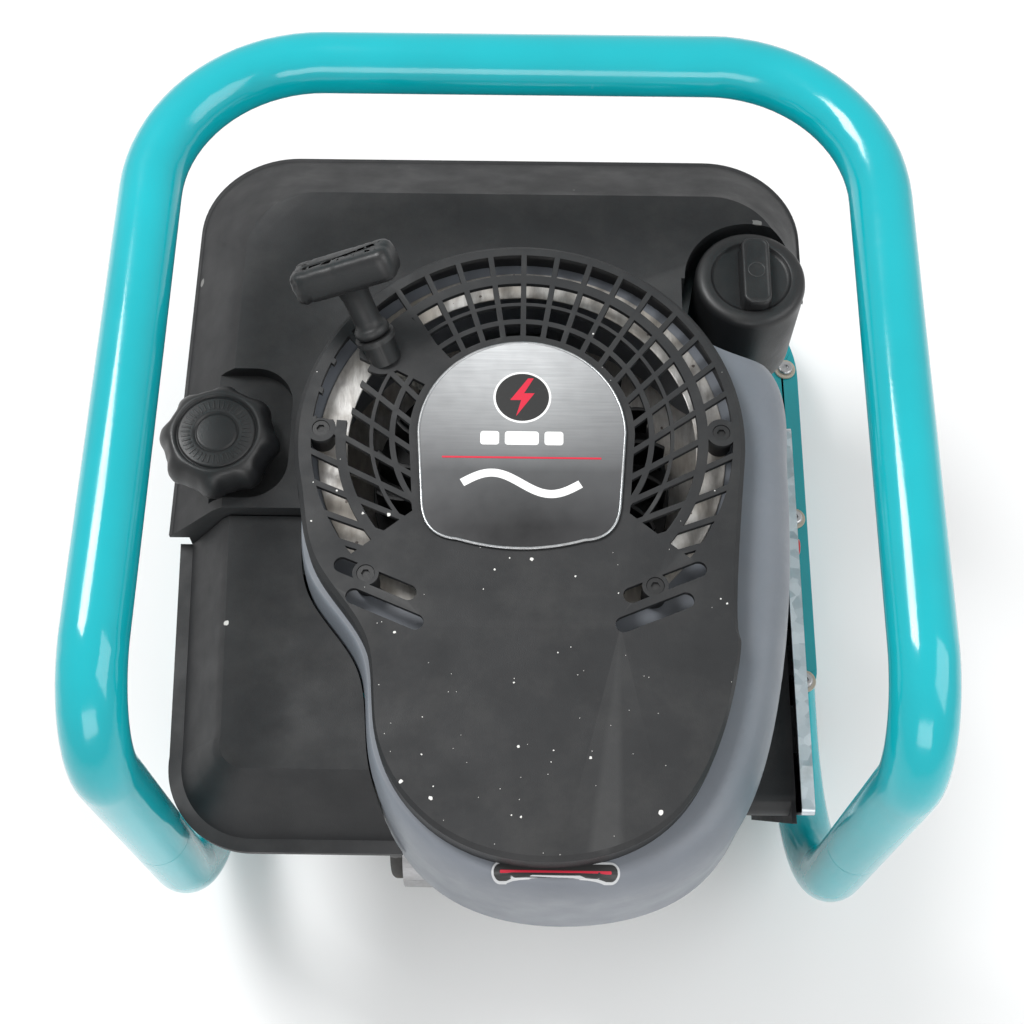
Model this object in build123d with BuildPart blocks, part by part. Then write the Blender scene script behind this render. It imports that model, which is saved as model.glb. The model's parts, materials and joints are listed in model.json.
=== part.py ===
"""Open-frame inverter generator: a tube frame, a vertical-shaft engine and its covers, in millimetres.

X runs to the right, Y to the back and Z up. The origin is on the floor, under the middle of the whole.
"""

import math
import os

from build123d import *

os.makedirs("parts", exist_ok=True)

# Frame of bent tube
TUBE_D = 32.0
TUBE_WALL = 2.0
RAIL_SPACING = 376.0
FRAME_HEIGHT = 352.0
TOP_LENGTH = 378.0
BASE_LENGTH = 446.0
REAR_CORNER_R = 85.0
TOP_BEND_R = 52.0
BASE_BEND_R = 115.0
FOOT_H = 12.0
NOSE_REACH = 46.0

# Deck and what stands on it
DECK_T = 3.0
DECK_BOLT_INSET = 9.0
BOLT_R = 3.0
ISOLATOR_H = 15.0
ISOLATOR_R = 14.0
ALTERNATOR_R = 95.0
ALTERNATOR_H = 73.0
ALTERNATOR_WALL = 6.0
AIR_GAP = 1.0

# Engine
ENGINE_X = 5.0
ENGINE_SETBACK = 194.0
CASE_R = 75.0
CASE_H = 68.0
SHAFT_R = 14.0
BORE_R = 28.0
BARREL_WALL = 5.5
STROKE = 44.0
BARREL_END = 151.0
HEAD_LENGTH = 25.0
HEAD_W = 92.0
HEAD_H = 66.0
FLYWHEEL_R = 84.0
FLYWHEEL_T = 20.0
FAN_H = 30.0

# Covers
SHROUD_H = 84.0
SHROUD_WALL = 3.0
COVER_H = 17.0
COVER_R = 118.0
COVER_WALL = 3.0
COVER_EDGE = 2.5
GRILLE_OUTER_R = 112.0
GRILLE_INNER_R = 59.5
BAR_PITCH = 9.6
BAR_W = 3.0
LABEL_R = 55.0
LABEL_T = 1.4
PULLEY_R = 50.0
ROPE_R = 2.0

# Tank, caps and side covers
TANK_GAP = 5.0
TANK_TOP = 275.0
TANK_WALL = 3.0
FUEL_NECK_R = 19.0
FUEL_CAP_AT = (-165.0, 5.0)
OIL_TUBE_R = 15.0
OIL_CAP_R = 32.0
OIL_CAP_AT = (131.0, 118.0)

# Fits
FIT = 0.05
GAP = 0.3
SHEET = 1.5

# What follows from the sizes above
TUBE_R = TUBE_D / 2
RAIL_X = RAIL_SPACING / 2
BASE_Z = FOOT_H + TUBE_R
TOP_Z = BASE_Z + FRAME_HEIGHT
JOINT_Z = (BASE_Z + TOP_Z) / 2
LEG_Y = (NOSE_REACH - BASE_LENGTH - TUBE_R) / 2
BASE_REAR_Y = LEG_Y + BASE_LENGTH
TOP_REAR_Y = LEG_Y + TOP_LENGTH
ENGINE_Y = LEG_Y + ENGINE_SETBACK
DECK_TOP = BASE_Z + TUBE_R + DECK_T
ALTERNATOR_Z = DECK_TOP + ISOLATOR_H
CASE_Z = ALTERNATOR_Z + ALTERNATOR_H
SHROUD_Z = CASE_Z + CASE_H + 2.0
COVER_Z = SHROUD_Z + SHROUD_H
COVER_TOP = COVER_Z + COVER_H
CYLINDER_Z = CASE_Z + CASE_H / 2
FLYWHEEL_Z = SHROUD_Z + 7.0
FAN_Z = FLYWHEEL_Z + FLYWHEEL_T
PULLEY_Z = FAN_Z + FAN_H + 4.0
LIFT = DECK_TOP - 47.0
TANK_TOP_Z = TANK_TOP + LIFT


def save(piece, label):
    """Name a finished piece and write it to its own file."""
    piece.part.label = label
    export_step(piece.part, "parts/" + label + ".step")


def level(height):
    """A plane parallel to the floor with its origin on the engine's axis."""
    return Plane(origin=(ENGINE_X, ENGINE_Y, height))


def hoop_tube(points, radii):
    """A bent round tube along points, open at both ends; used inside a part block."""
    with BuildLine() as run:
        FilletPolyline(*points, radius=radii)
    with BuildSketch(Plane(origin=run.line @ 0, z_dir=run.line % 0)) as ring:
        Circle(TUBE_R)
        Circle(TUBE_R - TUBE_WALL, mode=Mode.SUBTRACT)
    sweep(sections=ring.sketch, path=run.line)


# ---------------------------------------------------------------- frame

with BuildPart() as upper_hoop:
    hoop_tube(
        [
            (-RAIL_X, LEG_Y, JOINT_Z),
            (-RAIL_X, LEG_Y, TOP_Z),
            (-RAIL_X, TOP_REAR_Y, TOP_Z),
            (RAIL_X, TOP_REAR_Y, TOP_Z),
            (RAIL_X, LEG_Y, TOP_Z),
            (RAIL_X, LEG_Y, JOINT_Z),
        ],
        (TOP_BEND_R, REAR_CORNER_R, REAR_CORNER_R, TOP_BEND_R),
    )
save(upper_hoop, "frame_upper_hoop")

BOLT_X = RAIL_X + TUBE_R - 1.0 - DECK_BOLT_INSET
BOLT_YS = (LEG_Y + 145.0, LEG_Y + 263.0, LEG_Y + 381.0)
BOLT_SPOTS = [(side * BOLT_X, y) for side in (-1, 1) for y in BOLT_YS]
FOOT_ROWS = (LEG_Y + BASE_BEND_R + 20.0, BASE_REAR_Y - 105.0)
FOOT_SPOTS = [(side * RAIL_X, y) for side in (-1, 1) for y in FOOT_ROWS]

with BuildPart() as lower_hoop:
    hoop_tube(
        [
            (-RAIL_X, LEG_Y, JOINT_Z),
            (-RAIL_X, LEG_Y, BASE_Z),
            (-RAIL_X, BASE_REAR_Y, BASE_Z),
            (RAIL_X, BASE_REAR_Y, BASE_Z),
            (RAIL_X, LEG_Y, BASE_Z),
            (RAIL_X, LEG_Y, JOINT_Z),
        ],
        (BASE_BEND_R, REAR_CORNER_R, REAR_CORNER_R, BASE_BEND_R),
    )
    with BuildSketch(Plane.XY.offset(BASE_Z)):
        with Locations(*BOLT_SPOTS):
            Circle(BOLT_R + 0.2)
    extrude(amount=TUBE_D, mode=Mode.SUBTRACT)
save(lower_hoop, "frame_lower_hoop")

# Clip-on rubber feet, saddled to the tube
with BuildPart() as feet:
    with BuildSketch():
        with Locations(*FOOT_SPOTS):
            Circle(TUBE_R)
    extrude(amount=FOOT_H + TUBE_R * 0.5)
    for side in (-1, 1):
        with BuildSketch(Plane.XZ.offset(-BASE_REAR_Y)):
            with Locations((side * RAIL_X, BASE_Z)):
                Circle(TUBE_R)
        extrude(amount=BASE_LENGTH, mode=Mode.SUBTRACT)
save(feet, "rubber_feet")

# Deck plate, screwed to the bottom rails through rubber washers
DECK_BACK = BASE_REAR_Y + TUBE_R - 2.0
DECK_FRONT = LEG_Y + 129.0
DECK_W = 2 * (RAIL_X + TUBE_R - 1.0)
ISOLATOR_RADIUS = ALTERNATOR_R - 3.0
ISOLATOR_BEARINGS = (-25.0, 45.0, 135.0, 205.0)
ISOLATOR_SPOTS = [Vector(ISOLATOR_RADIUS, 0).rotate(Axis.Z, bearing) for bearing in ISOLATOR_BEARINGS]

with BuildPart() as deck:
    with BuildSketch(Plane.XY.offset(DECK_TOP - DECK_T)):
        with BuildLine():
            FilletPolyline(
                (-DECK_W / 2, DECK_FRONT),
                (-DECK_W / 2, DECK_BACK),
                (DECK_W / 2, DECK_BACK),
                (DECK_W / 2, DECK_FRONT),
                radius=(25.0, REAR_CORNER_R, REAR_CORNER_R, 25.0),
                close=True,
            )
        make_face()
        with Locations(*BOLT_SPOTS):
            Circle(BOLT_R + 0.2, mode=Mode.SUBTRACT)
    extrude(amount=DECK_T)
    with BuildSketch(level(DECK_TOP - DECK_T)):
        with Locations(*ISOLATOR_SPOTS):
            Circle(BOLT_R + 0.2)
    extrude(amount=DECK_T, mode=Mode.SUBTRACT)
save(deck, "deck_plate")

WASHER_T = 2.0
with BuildPart() as washers:
    with BuildSketch(Plane.XY.offset(DECK_TOP)):
        with Locations(*BOLT_SPOTS):
            Circle(7.5)
            Circle(BOLT_R + 0.2, mode=Mode.SUBTRACT)
    extrude(amount=WASHER_T)
save(washers, "deck_washers")

with BuildPart() as deck_bolts:
    with BuildSketch(Plane.XY.offset(DECK_TOP + WASHER_T)):
        with Locations(*BOLT_SPOTS):
            Circle(5.2)
    extrude(amount=2.8)
    fillet(deck_bolts.edges().group_by(Axis.Z)[-1], 1.5)
    with BuildSketch(Plane.XY.offset(DECK_TOP + WASHER_T)):
        with Locations(*BOLT_SPOTS):
            Circle(BOLT_R)
    extrude(amount=-14.0)
    with BuildSketch(Plane.XY.offset(DECK_TOP + WASHER_T + 2.8)):
        with Locations(*BOLT_SPOTS):
            RegularPolygon(2.3, 6)
    extrude(amount=-1.8, mode=Mode.SUBTRACT)
save(deck_bolts, "deck_bolts")

# ---------------------------------------------------------------- alternator

with BuildPart() as isolators:
    with BuildSketch(level(DECK_TOP)):
        with Locations(*ISOLATOR_SPOTS):
            Circle(ISOLATOR_R)
    extrude(amount=ISOLATOR_H)
    with BuildSketch(level(DECK_TOP - DECK_T - 6.0)):
        with Locations(*ISOLATOR_SPOTS):
            Circle(BOLT_R)
    extrude(amount=ISOLATOR_H + DECK_T + 17.0)
save(isolators, "engine_isolators")

EAR_T = 8.0
SHAFT_LOW_R = SHAFT_R - 4.0
with BuildPart() as alternator_housing:
    with BuildSketch(level(ALTERNATOR_Z)):
        Circle(ALTERNATOR_R)
        with Locations(*ISOLATOR_SPOTS):
            Circle(ISOLATOR_R)
    extrude(amount=EAR_T)
    with BuildSketch(level(ALTERNATOR_Z)):
        Circle(ALTERNATOR_R)
    extrude(amount=ALTERNATOR_H)
    with BuildSketch(level(ALTERNATOR_Z + EAR_T)):
        Circle(ALTERNATOR_R - ALTERNATOR_WALL)
    extrude(amount=ALTERNATOR_H, mode=Mode.SUBTRACT)
    with BuildSketch(level(ALTERNATOR_Z)):
        Circle(SHAFT_LOW_R + FIT)
        with Locations(*ISOLATOR_SPOTS):
            Circle(BOLT_R + 0.2)
    extrude(amount=ALTERNATOR_H - 1.0, mode=Mode.SUBTRACT)
    with PolarLocations(ALTERNATOR_R, 16, start_angle=11.25) as slot_spots:
        slots = slot_spots.locations
    for spot in slots:
        with BuildSketch(level(ALTERNATOR_Z + 46.0).move(spot)) as slot:
            Rectangle(4 * ALTERNATOR_WALL, 9.0)
        extrude(amount=20.0, mode=Mode.SUBTRACT)
save(alternator_housing, "alternator_housing")

STATOR_R = ALTERNATOR_R - ALTERNATOR_WALL - 0.1
STATOR_BORE = STATOR_R * 0.7
STATOR_Z = ALTERNATOR_Z + 18.0
STATOR_T = 26.0
with BuildPart() as stator:
    with BuildSketch(level(STATOR_Z)):
        Circle(STATOR_R)
        Circle(STATOR_BORE, mode=Mode.SUBTRACT)
    extrude(amount=STATOR_T)
save(stator, "stator_core")

with BuildPart() as windings:
    for low in (STATOR_Z - 7.0, STATOR_Z + STATOR_T):
        with BuildSketch(level(low)):
            Circle(STATOR_R - 4.0)
            Circle(STATOR_BORE + 2.0, mode=Mode.SUBTRACT)
        extrude(amount=7.0)
save(windings, "stator_windings")

ROTOR_SEAT_R = SHAFT_R - 2.0
with BuildPart() as rotor:
    with BuildSketch(level(STATOR_Z)):
        Circle(STATOR_BORE - AIR_GAP)
        Circle(ROTOR_SEAT_R + FIT, mode=Mode.SUBTRACT)
    extrude(amount=STATOR_T)
    with BuildSketch(level(STATOR_Z + STATOR_T)):
        Circle(STATOR_BORE - 12.0)
        Circle(ROTOR_SEAT_R + 8.0, mode=Mode.SUBTRACT)
    extrude(amount=-8.0, mode=Mode.SUBTRACT)
save(rotor, "alternator_rotor")

# ---------------------------------------------------------------- engine block

SUMP_T = 8.0
FIN_T = 2.5
FIN_PITCH = 11.0
CRANK_CAVITY_R = CASE_R - 7.0
FRONT = Plane(origin=(ENGINE_X, ENGINE_Y, CYLINDER_Z), z_dir=(0, -1, 0), x_dir=(1, 0, 0))
with BuildPart() as crankcase:
    with BuildSketch(level(CASE_Z)):
        Circle(ALTERNATOR_R)
    extrude(amount=SUMP_T)
    with BuildSketch(level(CASE_Z)):
        Circle(CASE_R)
    extrude(amount=CASE_H)
    with BuildSketch(FRONT):
        Circle(BORE_R + BARREL_WALL)
    extrude(amount=BARREL_END)
    for fin in range(6):
        with BuildSketch(FRONT.offset(BARREL_END - FIN_T - fin * FIN_PITCH)):
            RectangleRounded(HEAD_W, HEAD_H - 1.0, 10.0)
        extrude(amount=FIN_T)
    with BuildSketch(level(CASE_Z + SUMP_T)):
        Circle(CRANK_CAVITY_R)
    extrude(amount=CASE_H - 2 * SUMP_T, mode=Mode.SUBTRACT)
    with BuildSketch(FRONT):
        Circle(BORE_R)
    extrude(amount=BARREL_END, mode=Mode.SUBTRACT)
    with BuildSketch(level(CASE_Z)):
        Circle(SHAFT_R + FIT)
    extrude(amount=CASE_H, mode=Mode.SUBTRACT)
save(crankcase, "crankcase")

THROW = STROKE / 2
WEB_T = 10.0
PIN_H = 16.0
WEB_Z = CYLINDER_Z - PIN_H / 2 - WEB_T
NUT_H = 9.0
with BuildPart() as crankshaft:
    with BuildSketch(level(ALTERNATOR_Z + 2.0)):
        Circle(SHAFT_LOW_R)
    extrude(amount=STATOR_Z - ALTERNATOR_Z - 2.0)
    with BuildSketch(level(STATOR_Z)):
        Circle(ROTOR_SEAT_R)
    extrude(amount=STATOR_T)
    with BuildSketch(level(STATOR_Z + STATOR_T)):
        Circle(SHAFT_R)
    extrude(amount=WEB_Z - STATOR_Z - STATOR_T)
    for low in (WEB_Z, WEB_Z + WEB_T + PIN_H):
        with BuildSketch(level(low)):
            Circle(THROW + 13.0)
        extrude(amount=WEB_T)
    with BuildSketch(level(WEB_Z + WEB_T)):
        with Locations((0, -THROW)):
            Circle(10.0)
    extrude(amount=PIN_H)
    with BuildSketch(level(WEB_Z + 2 * WEB_T + PIN_H)):
        Circle(SHAFT_R)
    extrude(amount=FLYWHEEL_Z - WEB_Z - 2 * WEB_T - PIN_H)
    with BuildSketch(level(FLYWHEEL_Z)):
        Circle(SHAFT_LOW_R)
    extrude(amount=FLYWHEEL_T + 8.0)
    with BuildSketch(level(FAN_Z + 3.0)):
        RegularPolygon(SHAFT_LOW_R + 5.0, 6)
    extrude(amount=NUT_H)
save(crankshaft, "crankshaft")

PISTON_L = 40.0
PISTON_CROWN = BARREL_END - 1.0 - THROW
with BuildPart() as piston:
    with BuildSketch(FRONT.offset(PISTON_CROWN)):
        Circle(BORE_R - FIT)
    extrude(amount=-PISTON_L)
    with BuildSketch(FRONT.offset(PISTON_CROWN - PISTON_L)):
        Circle(BORE_R - 5.0)
    extrude(amount=PISTON_L - 9.0, mode=Mode.SUBTRACT)
    for ring in range(3):
        with BuildSketch(FRONT.offset(PISTON_CROWN - 4.0 - 5.0 * ring)):
            Circle(BORE_R)
            Circle(BORE_R - 1.5, mode=Mode.SUBTRACT)
        extrude(amount=-1.5, mode=Mode.SUBTRACT)
save(piston, "piston")

PLUG_U = 20.0
with BuildPart() as head:
    with BuildSketch(FRONT.offset(BARREL_END)):
        RectangleRounded(HEAD_W, HEAD_H - 1.0, 10.0)
    extrude(amount=6.0)
    with BuildSketch(FRONT.offset(BARREL_END)):
        RectangleRounded(HEAD_W - 26.0, HEAD_H - 12.0, 8.0)
    extrude(amount=HEAD_LENGTH)
    for fin in range(2):
        with BuildSketch(FRONT.offset(BARREL_END + 12.0 + fin * 8.0)):
            RectangleRounded(HEAD_W, HEAD_H - 1.0, 10.0)
        extrude(amount=FIN_T)
    with BuildSketch(FRONT.offset(BARREL_END)):
        with Locations((PLUG_U, 0)):
            Circle(5.0)
    extrude(amount=HEAD_LENGTH, mode=Mode.SUBTRACT)
save(head, "cylinder_head")

HEAD_FACE = BARREL_END + HEAD_LENGTH
with BuildPart() as valve_cover:
    with BuildSketch(FRONT.offset(HEAD_FACE)):
        with Locations((-10.0, 0)):
            RectangleRounded(38.0, 50.0, 8.0)
    extrude(amount=16.0)
    fillet(valve_cover.edges().group_by(Axis.Y)[0], 5.0)
save(valve_cover, "valve_cover")

with BuildPart() as spark_plug:
    with BuildSketch(FRONT.offset(HEAD_FACE - 18.0)):
        with Locations((PLUG_U, 0)):
            Circle(4.9)
    extrude(amount=18.0)
    with BuildSketch(FRONT.offset(HEAD_FACE)):
        with Locations((PLUG_U, 0)):
            RegularPolygon(9.0, 6)
    extrude(amount=8.0)
    with BuildSketch(FRONT.offset(HEAD_FACE + 8.0)):
        with Locations((PLUG_U, 0)):
            Circle(4.5)
    extrude(amount=18.0)
save(spark_plug, "spark_plug")

with BuildPart() as plug_boot:
    with BuildSketch(FRONT.offset(HEAD_FACE + 10.0)):
        with Locations((PLUG_U, 0)):
            Circle(8.5)
    extrude(amount=22.0)
    with BuildSketch(FRONT.offset(HEAD_FACE + 10.0)):
        with Locations((PLUG_U, 0)):
            Circle(4.5 + FIT)
    extrude(amount=16.5, mode=Mode.SUBTRACT)
    fillet(plug_boot.edges().group_by(Axis.Y)[0], 3.0)
save(plug_boot, "spark_plug_boot")

# ---------------------------------------------------------------- flywheel, fan and blower

with BuildPart() as flywheel:
    with BuildSketch(level(FLYWHEEL_Z)):
        Circle(FLYWHEEL_R)
        Circle(SHAFT_LOW_R + FIT, mode=Mode.SUBTRACT)
    extrude(amount=FLYWHEEL_T)
    with BuildSketch(level(FLYWHEEL_Z)):
        Circle(FLYWHEEL_R - 10.0)
        Circle(SHAFT_R + 10.0, mode=Mode.SUBTRACT)
    extrude(amount=FLYWHEEL_T - 8.0, mode=Mode.SUBTRACT)
save(flywheel, "flywheel")

CUP_R = 34.0
BLADES = 20
with BuildPart() as fan:
    with BuildSketch(level(FAN_Z)):
        Circle(FLYWHEEL_R)
        Circle(CUP_R + 4.0, mode=Mode.SUBTRACT)
    extrude(amount=3.0)
    for blade in range(BLADES):
        turn = blade * 360.0 / BLADES
        with BuildSketch(level(FAN_Z + 3.0).rotated((0, 0, turn))):
            with BuildLine():
                ThreePointArc((CUP_R + 12.0, -4.0), (CUP_R + 28.0, 0.0), (FLYWHEEL_R - 3.0, -10.0))
                Line((FLYWHEEL_R - 3.0, -10.0), (FLYWHEEL_R - 4.0, -12.0))
                ThreePointArc((FLYWHEEL_R - 4.0, -12.0), (CUP_R + 28.0, -2.5), (CUP_R + 12.5, -6.5))
                Line((CUP_R + 12.5, -6.5), (CUP_R + 12.0, -4.0))
            make_face()
        extrude(amount=FAN_H - 3.0)
save(fan, "cooling_fan")

with BuildPart() as cup:
    with BuildSketch(level(FAN_Z)):
        Circle(CUP_R)
        Circle(SHAFT_LOW_R + FIT, mode=Mode.SUBTRACT)
    extrude(amount=3.0)
    with BuildSketch(level(FAN_Z + 3.0)):
        Circle(CUP_R)
        Circle(CUP_R - 2.0, mode=Mode.SUBTRACT)
    extrude(amount=FAN_H - 6.0)
save(cup, "starter_cup")

PLATE_T = SHROUD_Z - CASE_Z - CASE_H
BACKPLATE_R = COVER_R + 2.0
with BuildPart() as backplate:
    with BuildSketch(level(SHROUD_Z - PLATE_T)):
        Circle(BACKPLATE_R)
        Circle(SHAFT_R + 12.0, mode=Mode.SUBTRACT)
    extrude(amount=PLATE_T)
save(backplate, "blower_backplate")

COIL_V = FLYWHEEL_R + 1.0
with BuildPart() as coil:
    with BuildSketch(level(SHROUD_Z)):
        with Locations((0, COIL_V + 10.0)):
            Rectangle(44.0, 16.0)
    extrude(amount=FLYWHEEL_T + 4.0)
    with BuildSketch(level(SHROUD_Z + 9.0)):
        with Locations((0, COIL_V + 10.0)):
            Rectangle(24.0, 22.0)
    extrude(amount=FLYWHEEL_T - 2.0)
    fillet(coil.edges().group_by(Axis.Z)[-1], 2.0)
save(coil, "ignition_coil")


def pulled_in(spot, inset):
    """A point moved towards the engine's axis."""
    keep = 1 - inset / math.hypot(*spot)
    return (spot[0] * keep, spot[1] * keep)


COVER_FLANK = ((-108.0, -72.0), (-78.0, -118.0))
COVER_NOSE = ((-34.0, -215.0), (21.0, -227.0), (84.0, -196.0), (111.5, -118.0))


def cover_outline(inset=0.0):
    """The blower cover's outline: round over the fan, then drawn forward into a rounded nose."""
    right, top, left, waist = (
        pulled_in(spot, inset)
        for spot in ((COVER_R, -14.0), (0.0, COVER_R + 1.0), (-COVER_R, -28.0), (-70.0, -168.0))
    )
    flank = [pulled_in(spot, inset) for spot in COVER_FLANK]
    nose = [pulled_in(spot, inset) for spot in COVER_NOSE]
    with BuildLine() as outline:
        rear = ThreePointArc(right, top, left)
        Spline(left, *flank, waist, *nose, right, tangents=(rear % 1, rear % 0))
    make_face(outline.edges())


# The shroud's control points, each with the point it draws in to under the cover's edge
REACH = NOSE_REACH + ENGINE_SETBACK
REAR_RIGHT = ((84.0, 84.0), (82.5, 82.5))
REAR_MIDDLE = ((-40.0, 112.0), (-39.5, 110.5))
REAR_LEFT = ((-117.0, -28.0), (-116.0, -27.0))
LEFT_FLANK = (((-112.0, -76.0), (-109.0, -75.0)), ((-84.0, -118.0), (-80.0, -117.0)))
NOSE_LEFT = ((-76.0, -168.0), (-72.0, -167.0))
NOSE = (
    ((-44.0, -220.0), (-37.0, -213.0)),
    ((25.0, 0.5 - REACH), (24.0, -229.0)),
    ((98.0, -216.0), (86.0, -199.0)),
    ((133.5, -140.0), (114.0, -124.0)),
)
RIGHT_SIDE = ((146.5, 0.0), (121.0, -16.0))
RIGHT_REAR = ((138.0, 62.0), (109.0, 46.0))


def drawn_in(pair, blend, inset):
    """A control point, moved from the wall towards the top edge, then towards the axis."""
    (wall_u, wall_v), (top_u, top_v) = pair
    u = wall_u + (top_u - wall_u) * blend
    v = wall_v + (top_v - wall_v) * blend
    keep = 1 - inset / math.hypot(u, v)
    return (u * keep, v * keep)


# Keeps a spline's end tangents from looping back over its last long span
EVEN = (1.0, 1.0)


def shroud_outline(blend=0.0, inset=0.0, mode=Mode.ADD):
    """The grey shroud's outline: close behind the fan circle and wide on the right and at the nose."""
    start, rear, turn, corner, side, back = (
        drawn_in(pair, blend, inset)
        for pair in (REAR_RIGHT, REAR_MIDDLE, REAR_LEFT, NOSE_LEFT, RIGHT_SIDE, RIGHT_REAR)
    )
    flank = [drawn_in(pair, blend, inset) for pair in LEFT_FLANK]
    nose = [drawn_in(pair, blend, inset) for pair in NOSE]
    with BuildLine() as outline:
        ThreePointArc(start, rear, turn)
        Spline(turn, *flank, corner, *nose, side, tangents=((0.0, -1.0), (0.0, 1.0)), tangent_scalars=EVEN)
        Spline(side, back, start, tangents=((0.05, 1.0), (-1.0, 0.6)), tangent_scalars=EVEN)
    make_face(outline.edges(), mode=mode)


SHOULDER = ((28.0, 0.0), (12.0, 0.12), (3.0, 0.45), (0.0, 0.9))
AIR_HOLE_R = 96.0
OIL_CLEAR_R = 58.0


def shroud_body(inset):
    """The shroud's outside, or with an inset its hollow; used inside a part block."""
    low = SHROUD_Z
    with BuildSketch(level(low)) as base:
        shroud_outline(0.0, inset)
    extrude(base.sketch, amount=SHROUD_H - SHOULDER[0][0] - inset)
    rings = []
    for below, blend in SHOULDER:
        with BuildSketch(level(COVER_Z - below - inset)) as ring:
            shroud_outline(blend, inset)
        rings.append(ring.sketch)
    loft(rings)
    with BuildSketch(level(low - 1.0)) as corner:
        with Locations(OIL_CAP_AT):
            Circle(OIL_CLEAR_R + inset)
    extrude(corner.sketch, amount=SHROUD_H + 2.0, mode=Mode.SUBTRACT)


with BuildPart() as shroud_hollow:
    shroud_body(SHROUD_WALL)

with BuildPart() as shroud:
    shroud_body(0.0)
    add(shroud_hollow.part, mode=Mode.SUBTRACT)
    with BuildSketch(level(COVER_Z)):
        Circle(AIR_HOLE_R)
    extrude(amount=-SHROUD_H / 2, mode=Mode.SUBTRACT)
save(shroud, "engine_shroud")

RING_T = 1.2
with BuildPart() as blower_ring:
    with BuildSketch(level(COVER_Z)):
        Circle(COVER_R - 8.0)
        Circle(AIR_HOLE_R - 2.0, mode=Mode.SUBTRACT)
    extrude(amount=RING_T)
save(blower_ring, "blower_ring")

# Blower cover with its swirled grille
SWIRL = 129.0
LOW_SLOTS = ((-74.0, -84.0, 46.0), (-68.5, -100.5, 43.0))
LOW_SLOT_LEAN = 23.0
SCREW_SPOTS = [(-107.0, 2.0), (106.0, 2.0), (69.0, -86.0), (-79.0, -81.0)]
COLLAR_AT = (-76.0, 48.0)
COLLAR_R = 13.0
PULL_DIR = Vector(-0.36, 0.50, 0.79).normalized()
RINGS = ((93.5, 99.0), (79.0, 81.0), (67.5, 70.5))
SURROUND = 5.0
BAR_L = 68.0


def sector(inner, outer, first, last):
    """A face between two radii and two bearings, in degrees clockwise from the back."""
    middle = (first + last) / 2

    def spot(radius, bearing):
        return (radius * math.sin(math.radians(bearing)), radius * math.cos(math.radians(bearing)))

    with BuildLine() as edge:
        ThreePointArc(spot(inner, first), spot(inner, middle), spot(inner, last))
        Line(spot(inner, last), spot(outer, last))
        ThreePointArc(spot(outer, last), spot(outer, middle), spot(outer, first))
        Line(spot(outer, first), spot(inner, first))
    return make_face(edge.edges(), mode=Mode.PRIVATE)


def label_outline(margin=0.0):
    """The label: half a circle over a panel with rounded lower corners."""
    reach = LABEL_R + margin
    corner = 22.0 + margin
    foot = -62.0 - margin
    with BuildLine() as edge:
        ThreePointArc((-reach, 0.0), (0.0, reach), (reach, 0.0))
        Line((reach, 0.0), (reach - 3.0, foot + corner))
        RadiusArc((reach - 3.0, foot + corner), (reach - corner, foot), corner)
        ThreePointArc((reach - corner, foot), (0.0, foot - 5.0), (corner - reach, foot))
        RadiusArc((corner - reach, foot), (3.0 - reach, foot + corner), corner)
        Line((3.0 - reach, foot + corner), (-reach, 0.0))
    make_face(edge.edges())


with BuildSketch() as window:
    add(sector(GRILLE_INNER_R, GRILLE_OUTER_R, -SWIRL, SWIRL))
    add(sector(GRILLE_INNER_R - 1.0, RINGS[0][0] + 1.0, -61.0, -41.0), mode=Mode.SUBTRACT)
    with Locations(COLLAR_AT):
        Circle(COLLAR_R, mode=Mode.SUBTRACT)
    with Locations(*SCREW_SPOTS):
        Circle(8.0, mode=Mode.SUBTRACT)
with BuildSketch() as label_zone:
    label_outline(SURROUND)
with BuildSketch() as swirl_bars:
    for k in range(-14, 15):
        bearing = k * BAR_PITCH
        lean = math.copysign(0.93 * abs(bearing) - 0.0028 * bearing**2, bearing)
        rim = Vector(GRILLE_OUTER_R, 0).rotate(Axis.Z, 90.0 - bearing)
        middle = rim + Vector(0, -BAR_L / 2).rotate(Axis.Z, -lean)
        with Locations(Location(middle, -lean)):
            Rectangle(BAR_W, BAR_L + 8.0)
    for inner, outer in RINGS:
        add(sector(inner, outer, -SWIRL, SWIRL))
with BuildSketch() as cells:
    add(window.sketch)
    add(label_zone.sketch, mode=Mode.SUBTRACT)
    add(swirl_bars.sketch, mode=Mode.SUBTRACT)
    add(sector(RINGS[0][0] - 1.5, GRILLE_OUTER_R - 2.0, -86.0, -63.0))
    for u, v, reach in LOW_SLOTS:
        for side in (1, -1):
            with Locations(Location(Vector(side * u, v), -side * LOW_SLOT_LEAN)):
                SlotOverall(reach, 8.5)
    with Locations(*SCREW_SPOTS[2:]):
        Circle(6.8, mode=Mode.SUBTRACT)

POST_R = 8.0
SCREW_R = 2.5
GUIDE_R = 9.0
GUIDE_H = 12.0
ROPE_HOLE_R = ROPE_R + 0.6
LABEL_Z = COVER_TOP
PULL_FROM = Vector(ENGINE_X + COLLAR_AT[0], ENGINE_Y + COLLAR_AT[1], COVER_TOP)
PULL = Plane(origin=PULL_FROM, z_dir=PULL_DIR, x_dir=(0.95, 0.09, 0.376))

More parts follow.
